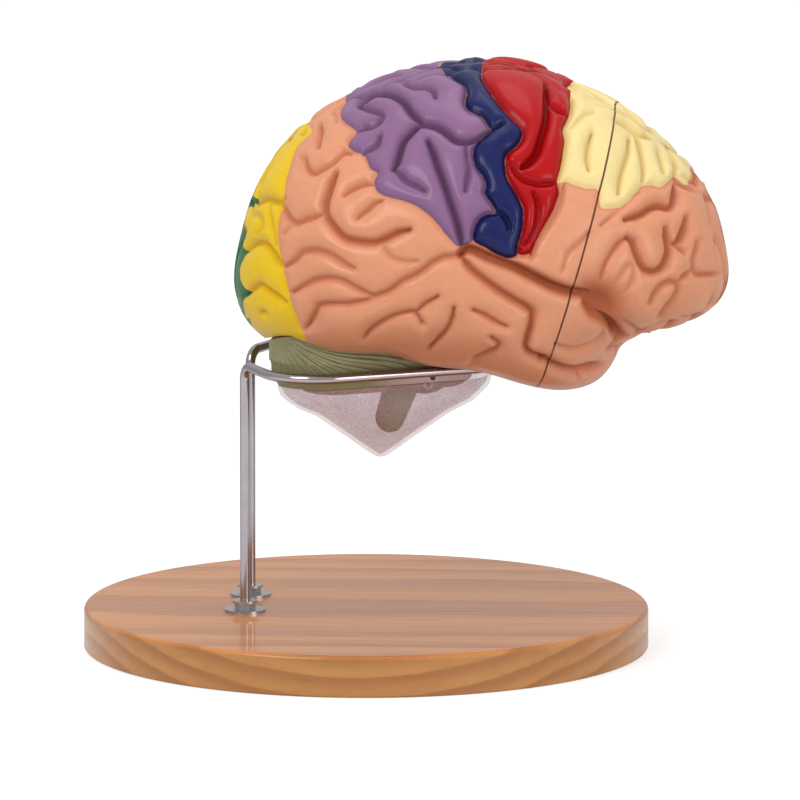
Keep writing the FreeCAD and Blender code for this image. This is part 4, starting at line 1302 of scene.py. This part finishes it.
# %% Arched top and rear notch
SHARP_FROM = math.radians(50)
NOTCH_FOOT, NOTCH_HEAD = np.array([[-59.0, 0.0, 120.0], [-59.001, 0.0, 250.0]]) * MM
NOTCH_RADIUS = 9.0 * MM


def shade_smooth(data):
    """Smooth shading over all but the sharp edges."""
    data.polygons.foreach_set("use_smooth", np.ones(len(data.polygons), bool))
    data.set_sharp_from_angle(angle=SHARP_FROM)


ellipsoid_tool = stacked_rings("ellipsoid_tool", ball(ARCH_MIDDLE, ARCH_HALF, 192))
notch_tool = stacked_rings("notch_tool", rod_rings(NOTCH_FOOT, NOTCH_HEAD, NOTCH_RADIUS))
cut_away(cerebellum, [ellipsoid_tool], "INTERSECT")
cut_away(cerebellum, [notch_tool])
store(cerebellum.data, "folia", folia_count(read(cerebellum.data.vertices, "co", 3).astype(float)))
shade_smooth(cerebellum.data)
print("cerebellum faces after the cuts:", len(cerebellum.data.polygons))

# %% [markdown]
# ## The cup
# Under the ring hangs a cup of thin cloudy plastic, in which the stem shows. At its rim it has
# the plan of the ring, and it tapers to a small round tip. A stack of rings can do both: each
# ring is a blend of the plan's outline and a circle, and a second stack, a wall's thickness
# inside the first, closes it as a shell. Rings lower down are averaged over more turns, so that
# the corners of the plan fade out.

# %% Cup
CUP_WALL = 2.2
CUP_POINTS = 240
CUP_TURN = np.linspace(-math.pi, math.pi, CUP_POINTS, endpoint=False)
CUP_TIP_X, CUP_TIP_Z, CUP_LEAN = 8.6, -60.4, 1.4
# Height under the ring, inset and scale of the plan, share of the plan, radius of the circle
CUP_RINGS = [(-8.5, 8.0, 1.0, 1.0, 55.0), (-14.6, 9.5, 1.0, 1.0, 55.0),
             (-19.0, 9.5, 0.95, 0.93, 55.0), (-24.0, 9.5, 0.88, 0.75, 55.0),
             (-31.6, 9.5, 0.75, 0.35, 40.0), (-40.0, 9.5, 0.6, 0.1, 30.5),
             (-47.6, 9.5, 0.5, 0.0, 20.5), (-54.0, 9.5, 0.5, 0.0, 12.0),
             (-58.2, 9.5, 0.5, 0.0, 6.0), (-60.0, 9.5, 0.5, 0.0, 2.6)]


def plan_reach(inset, rounding):
    """Distance from the middle to the plan's outline at each turn, averaged over some turns."""
    outline = ring_plan(inset * MM, 720) - BODY_MIDDLE
    turn = np.arctan2(outline[:, 1], outline[:, 0])
    order = np.argsort(turn)
    reach = np.interp(CUP_TURN, turn[order], np.hypot(outline[:, 0], outline[:, 1])[order],
                      period=2 * math.pi)
    return np.mean([np.roll(reach, k) for k in range(-rounding, rounding + 1)], axis=0)


def cup_rings(inset):
    """Rings from the rim to the tip: reach = share * plan + (1 - share) * radius, less a wall."""
    rings = []
    for number, (z, step, scale, share, radius) in enumerate(CUP_RINGS):
        reach = share * scale * plan_reach(step + inset, 3 * number)
        reach += (1 - share) * max(radius - 1.2 * inset, 0.5) * MM
        middle = (CUP_TIP_X + CUP_LEAN * share) * MM
        rings.append(np.column_stack([middle + reach * np.cos(CUP_TURN), reach * np.sin(CUP_TURN),
                                      np.full(CUP_POINTS, RING_Z + (z + 0.6 * inset) * MM)]))
    tip = np.array([CUP_TIP_X * MM, 0.0, RING_Z + (CUP_TIP_Z + inset) * MM])
    return rings + [np.tile(tip, (CUP_POINTS, 1))]


outside, inside = cup_rings(0.0), cup_rings(CUP_WALL)
inside[0][:, 2] = outside[0][:, 2]
cup = stacked_rings("cup_shell", outside[::-1] + inside)
shade_smooth(cup.data)
print("cup faces:", len(cup.data.polygons), "size:", cup.dimensions[:])

# %% [markdown]
# ## Varnished wood
# The board is one plank. Its year rings are long shells around an axis far below it, so the top
# shows bands along the grain and the round edge shows them as a bow. Wood is then a distance
# from that axis, cut into rings, plus fine pores that are stretched along the grain. The top's
# colours hold a painted sheen of the varnish and the rim's do not, so the rim is a little
# browner than the top.

# %% Wood
TRUNK_AXIS = (0.0, 0.012, 0.31)
TAPER_ALONG_GRAIN = (0.10, 1.0, 1.0)
RING_WIDTH = 11.8 * MM
EDGE_FROM, EDGE_TO = 24.5 * MM, 22.5 * MM
# Stretch of each kind of grain: along x, across and up
DRIFT_GRAIN, STREAK_GRAIN, PORE_GRAIN = [(along, across, across)
                                         for along, across in ((4, 26), (5, 90), (14, 420))]


def wood_finish(tree, place):
    """Year rings, streaks and pores along x, on top and rim."""
    bent = add(tree, "Mapping", {"Vector": place, "Location": TRUNK_AXIS,
                                 "Scale": TAPER_ALONG_GRAIN}).outputs[0]
    reach = add(tree, "VectorMath", {0: bent}, operation="LENGTH").outputs["Value"]
    drift = noise(tree, place, 1.0, 3, 0.5, DRIFT_GRAIN)
    ring = maths(tree, "ADD", maths(tree, "DIVIDE", reach, RING_WIDTH), times(tree, drift, 0.8))
    part = maths(tree, "FRACT", ring)
    late = times(tree, ranged(tree, part, 0.15, 0.82), ranged(tree, part, 1.0, 0.9))
    pores = noise(tree, place, 1.0, 4, 0.6, PORE_GRAIN)
    streak = noise(tree, place, 1.0, 3, 0.5, STREAK_GRAIN)
    # Share of the rim; the top's colours above it hold a painted sheen of the varnish
    edge = ranged(tree, axis(tree, place, "Z"), EDGE_FROM, EDGE_TO)
    early_wood, late_wood, streak_wood = [
        mixed(tree, edge, srgb(*top), srgb(*rim))
        for top, rim in (((204, 132, 62), (192, 134, 74)), ((176, 107, 46), (164, 106, 54)),
                         ((192, 123, 67), (174, 114, 58)))]
    colour = mixed(tree, late, early_wood, late_wood)
    colour = mixed(tree, ranged(tree, streak, 0.3, 0.75, 0.0, 0.5), colour, streak_wood)
    colour = mixed(tree, ranged(tree, pores, 0.54, 0.74, 0.0, 0.22), colour, srgb(136, 82, 38))
    return {"Base Color": colour, "Roughness": ranged(tree, pores, 0.3, 0.7, 0.3, 0.42),
            "Normal": bumped(tree, pores, 0.04, 0.3 * MM), "Specular IOR Level": 0.3,
            "Coat Weight": 0.36, "Coat Roughness": 0.07}


# %% [markdown]
# ## Metal and plastic
# The rod is chromed, the nuts and washers are zinc plated and duller. Both are one colour with a
# haze that makes the polish uneven. The cup lets light through by its alpha: its far side and its
# shadow are made clearer, because the eye looks through two walls at once.

# %% Metal and plastic
SHEATH_EDGE = (23.6 * MM, 24.0 * MM)


def metal_finish(scale, light, dark, smooth, rough):
    """Finish of a bare metal whose colour and roughness vary with one haze."""
    def finish(tree, place):
        """Haze of the given scale in both."""
        haze = noise(tree, place, scale, 3)
        return {"Base Color": mixed(tree, haze, (*light, 1), (*dark, 1)), "Metallic": 1.0,
                "Roughness": ranged(tree, haze, 0.3, 0.7, smooth, rough)}
    return finish


def cup_finish(tree, place):
    """Cloudy pink plastic with fine specks."""
    speck = ranged(tree, noise(tree, place, 520, 3, 0.7), 0.42, 0.66)
    cloud = mixed(tree, noise(tree, place, 35, 3), srgb(204, 156, 172), srgb(192, 146, 160))
    thick = ranged(tree, noise(tree, place, 60, 3), 0.3, 0.7, 0.43, 0.51)
    behind = add(tree, "NewGeometry").outputs["Backfacing"]
    shadow = add(tree, "LightPath").outputs["Is Shadow Ray"]
    clear = maths(tree, "SUBTRACT", 1.0, maths(tree, "MAXIMUM", behind, shadow))
    return {"Base Color": mixed(tree, speck, cloud, srgb(174, 128, 144)), "Roughness": 0.32,
            "Alpha": times(tree, thick, ranged(tree, clear, 0.0, 1.0, 0.12, 1.0)),
            "Coat Weight": 0.2, "Coat Roughness": 0.15}


def stem_finish(tree, place):
    """Green-grey stem, with pale sheaths on the two nerve stumps at its sides."""
    colour = mixed(tree, noise(tree, place, 60, 4), srgb(138, 186, 112), srgb(114, 156, 90))
    side = maths(tree, "ABSOLUTE", axis(tree, place, "Y"))
    sheath = ranged(tree, side, *SHEATH_EDGE)
    return {"Base Color": mixed(tree, sheath, colour, srgb(226, 224, 214)), "Roughness": 0.42,
            "Normal": bumped(tree, noise(tree, place, 300, 3), 0.15, 0.4 * MM)}


def peg_finish(tree, place):
    """Pale moulded plastic."""
    return {"Base Color": mixed(tree, noise(tree, place, 120, 3), srgb(226, 218, 200),
                                srgb(206, 196, 174)), "Roughness": 0.45}


# %% [markdown]
# ## Olive folia
# The number of the fold that was stored at each point now draws the dark creases between the
# folia as painted shade, so that colour and shape agree. Under the ring the piece is smooth and
# painted paler, as painted light where the brain above keeps the light away, and in front it
# blends into the pink of the cup, where one cut nerve shows as a small round spot.

# %% Olive folia
# Each pair is where a look begins and where it is full
CREASE_HEIGHTS, PAINTED_LIGHT_HEIGHTS = (178 * MM, 184 * MM), (170.1 * MM, 169.2 * MM)
PINK_HEIGHTS, PINK_FOOT = (176.5 * MM, 175.5 * MM), (169.0 * MM, 170.0 * MM)
PINK_FORWARD = (0.0, 35 * MM)
NERVE_SPOT = (42.8 * MM, 0.0, 172.5 * MM)
NERVE_SHEATH, NERVE_CORE = (3.6 * MM, 3.0 * MM), (1.9 * MM, 1.4 * MM)


def folia_finish(tree, place):
    """Painted shade in creases by fold number above the ring, painted light below, the nerve's
    spot.
    """
    x, z = axis(tree, place, "X"), axis(tree, place, "Z")
    count = attribute(tree, "folia")
    fine, coarse = [maths(tree, "COSINE", times(tree, count, turns * math.pi)) for turns in (4, 2)]
    breaks = times(tree, ranged(tree, z, *CREASE_HEIGHTS),
                   ranged(tree, noise(tree, place, 110, 3), 0.3, 0.6, 0.35, 1.0))
    colour = mixed(tree, noise(tree, place, 45, 3), srgb(152, 146, 108), srgb(134, 130, 90))
    # Painted shade: the creases between the folia are painted dark
    dark = times(tree, ranged(tree, coarse, 0.1, 1.0, 0.0, 0.6), breaks)
    colour = mixed(tree, dark, colour, srgb(74, 70, 42))
    light = times(tree, ranged(tree, fine, 0.3, 1.0, 0.0, 0.22), breaks)
    colour = mixed(tree, light, colour, srgb(96, 92, 60))
    # Painted light: under the ring the olive is painted paler, where the brain above keeps the
    # light away
    colour = mixed(tree, ranged(tree, z, *PAINTED_LIGHT_HEIGHTS), colour, srgb(176, 180, 118))
    front = times(tree, ranged(tree, x, *PINK_FORWARD),
                  times(tree, ranged(tree, z, *PINK_HEIGHTS),
                        ranged(tree, z, *PINK_FOOT, 0.45, 1.0)))
    colour = mixed(tree, front, colour, srgb(206, 184, 186))
    away = add(tree, "VectorMath", {0: add(tree, "CombineXYZ", {"X": x, "Z": z}).outputs[0],
                                    1: NERVE_SPOT}, operation="DISTANCE").outputs["Value"]
    colour = mixed(tree, ranged(tree, away, *NERVE_SHEATH), colour, srgb(214, 196, 196))
    colour = mixed(tree, ranged(tree, away, *NERVE_CORE), colour, srgb(58, 44, 46))
    return {"Base Color": colour, "Normal": bumped(tree, times(tree, fine, -1.0), 0.25, 0.4 * MM),
            "Roughness": ranged(tree, noise(tree, place, 80, 3), 0.3, 0.7, 0.36, 0.48)}

# %% [markdown]
# ## Finishes on their pieces
# The pieces that stay as they are packed only get a material in their slots, because their
# shape is already right. The cerebellum and the cup are new meshes that take the place of
# their nodes and ride on the same body.

# %% Which node gets which finish
NODE_FINISHES = {
    "varnished_wood": (wood_finish, ["base_board"]),
    "chromed_rod": (metal_finish(90, (0.40, 0.37, 0.39), (0.33, 0.30, 0.32), 0.1, 0.18),
                    ["support_wire"]),
    "zinc_plating": (metal_finish(260, (0.52, 0.52, 0.53), (0.36, 0.36, 0.37), 0.2, 0.34),
                     ["upper_washers", "upper_flange_nuts", "lower_washers", "lower_nuts"]),
    "olive_stem_paint": (stem_finish, ["brainstem"]),
    "peg_plastic": (peg_finish, ["midline_pegs", "right_seam_pegs", "left_seam_pegs"]),
}
for name, (make, nodes) in NODE_FINISHES.items():
    finish = finish_material(name, make)
    for node in nodes:
        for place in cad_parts[node].material_slots:
            place.material = finish
    print(name, "on", ", ".join(nodes))
for piece, node, slot, name, make in (
        (cerebellum, "cerebellum", "olive_plastic", "olive_folia_paint", folia_finish),
        (cup, "support_cup", "pink_cup", "cloudy_pink_plastic", cup_finish)):
    piece.data.materials.clear()
    piece.data.materials.append(finish_material(name, make))
    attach(piece, "stand_and_rear")
    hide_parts(node)
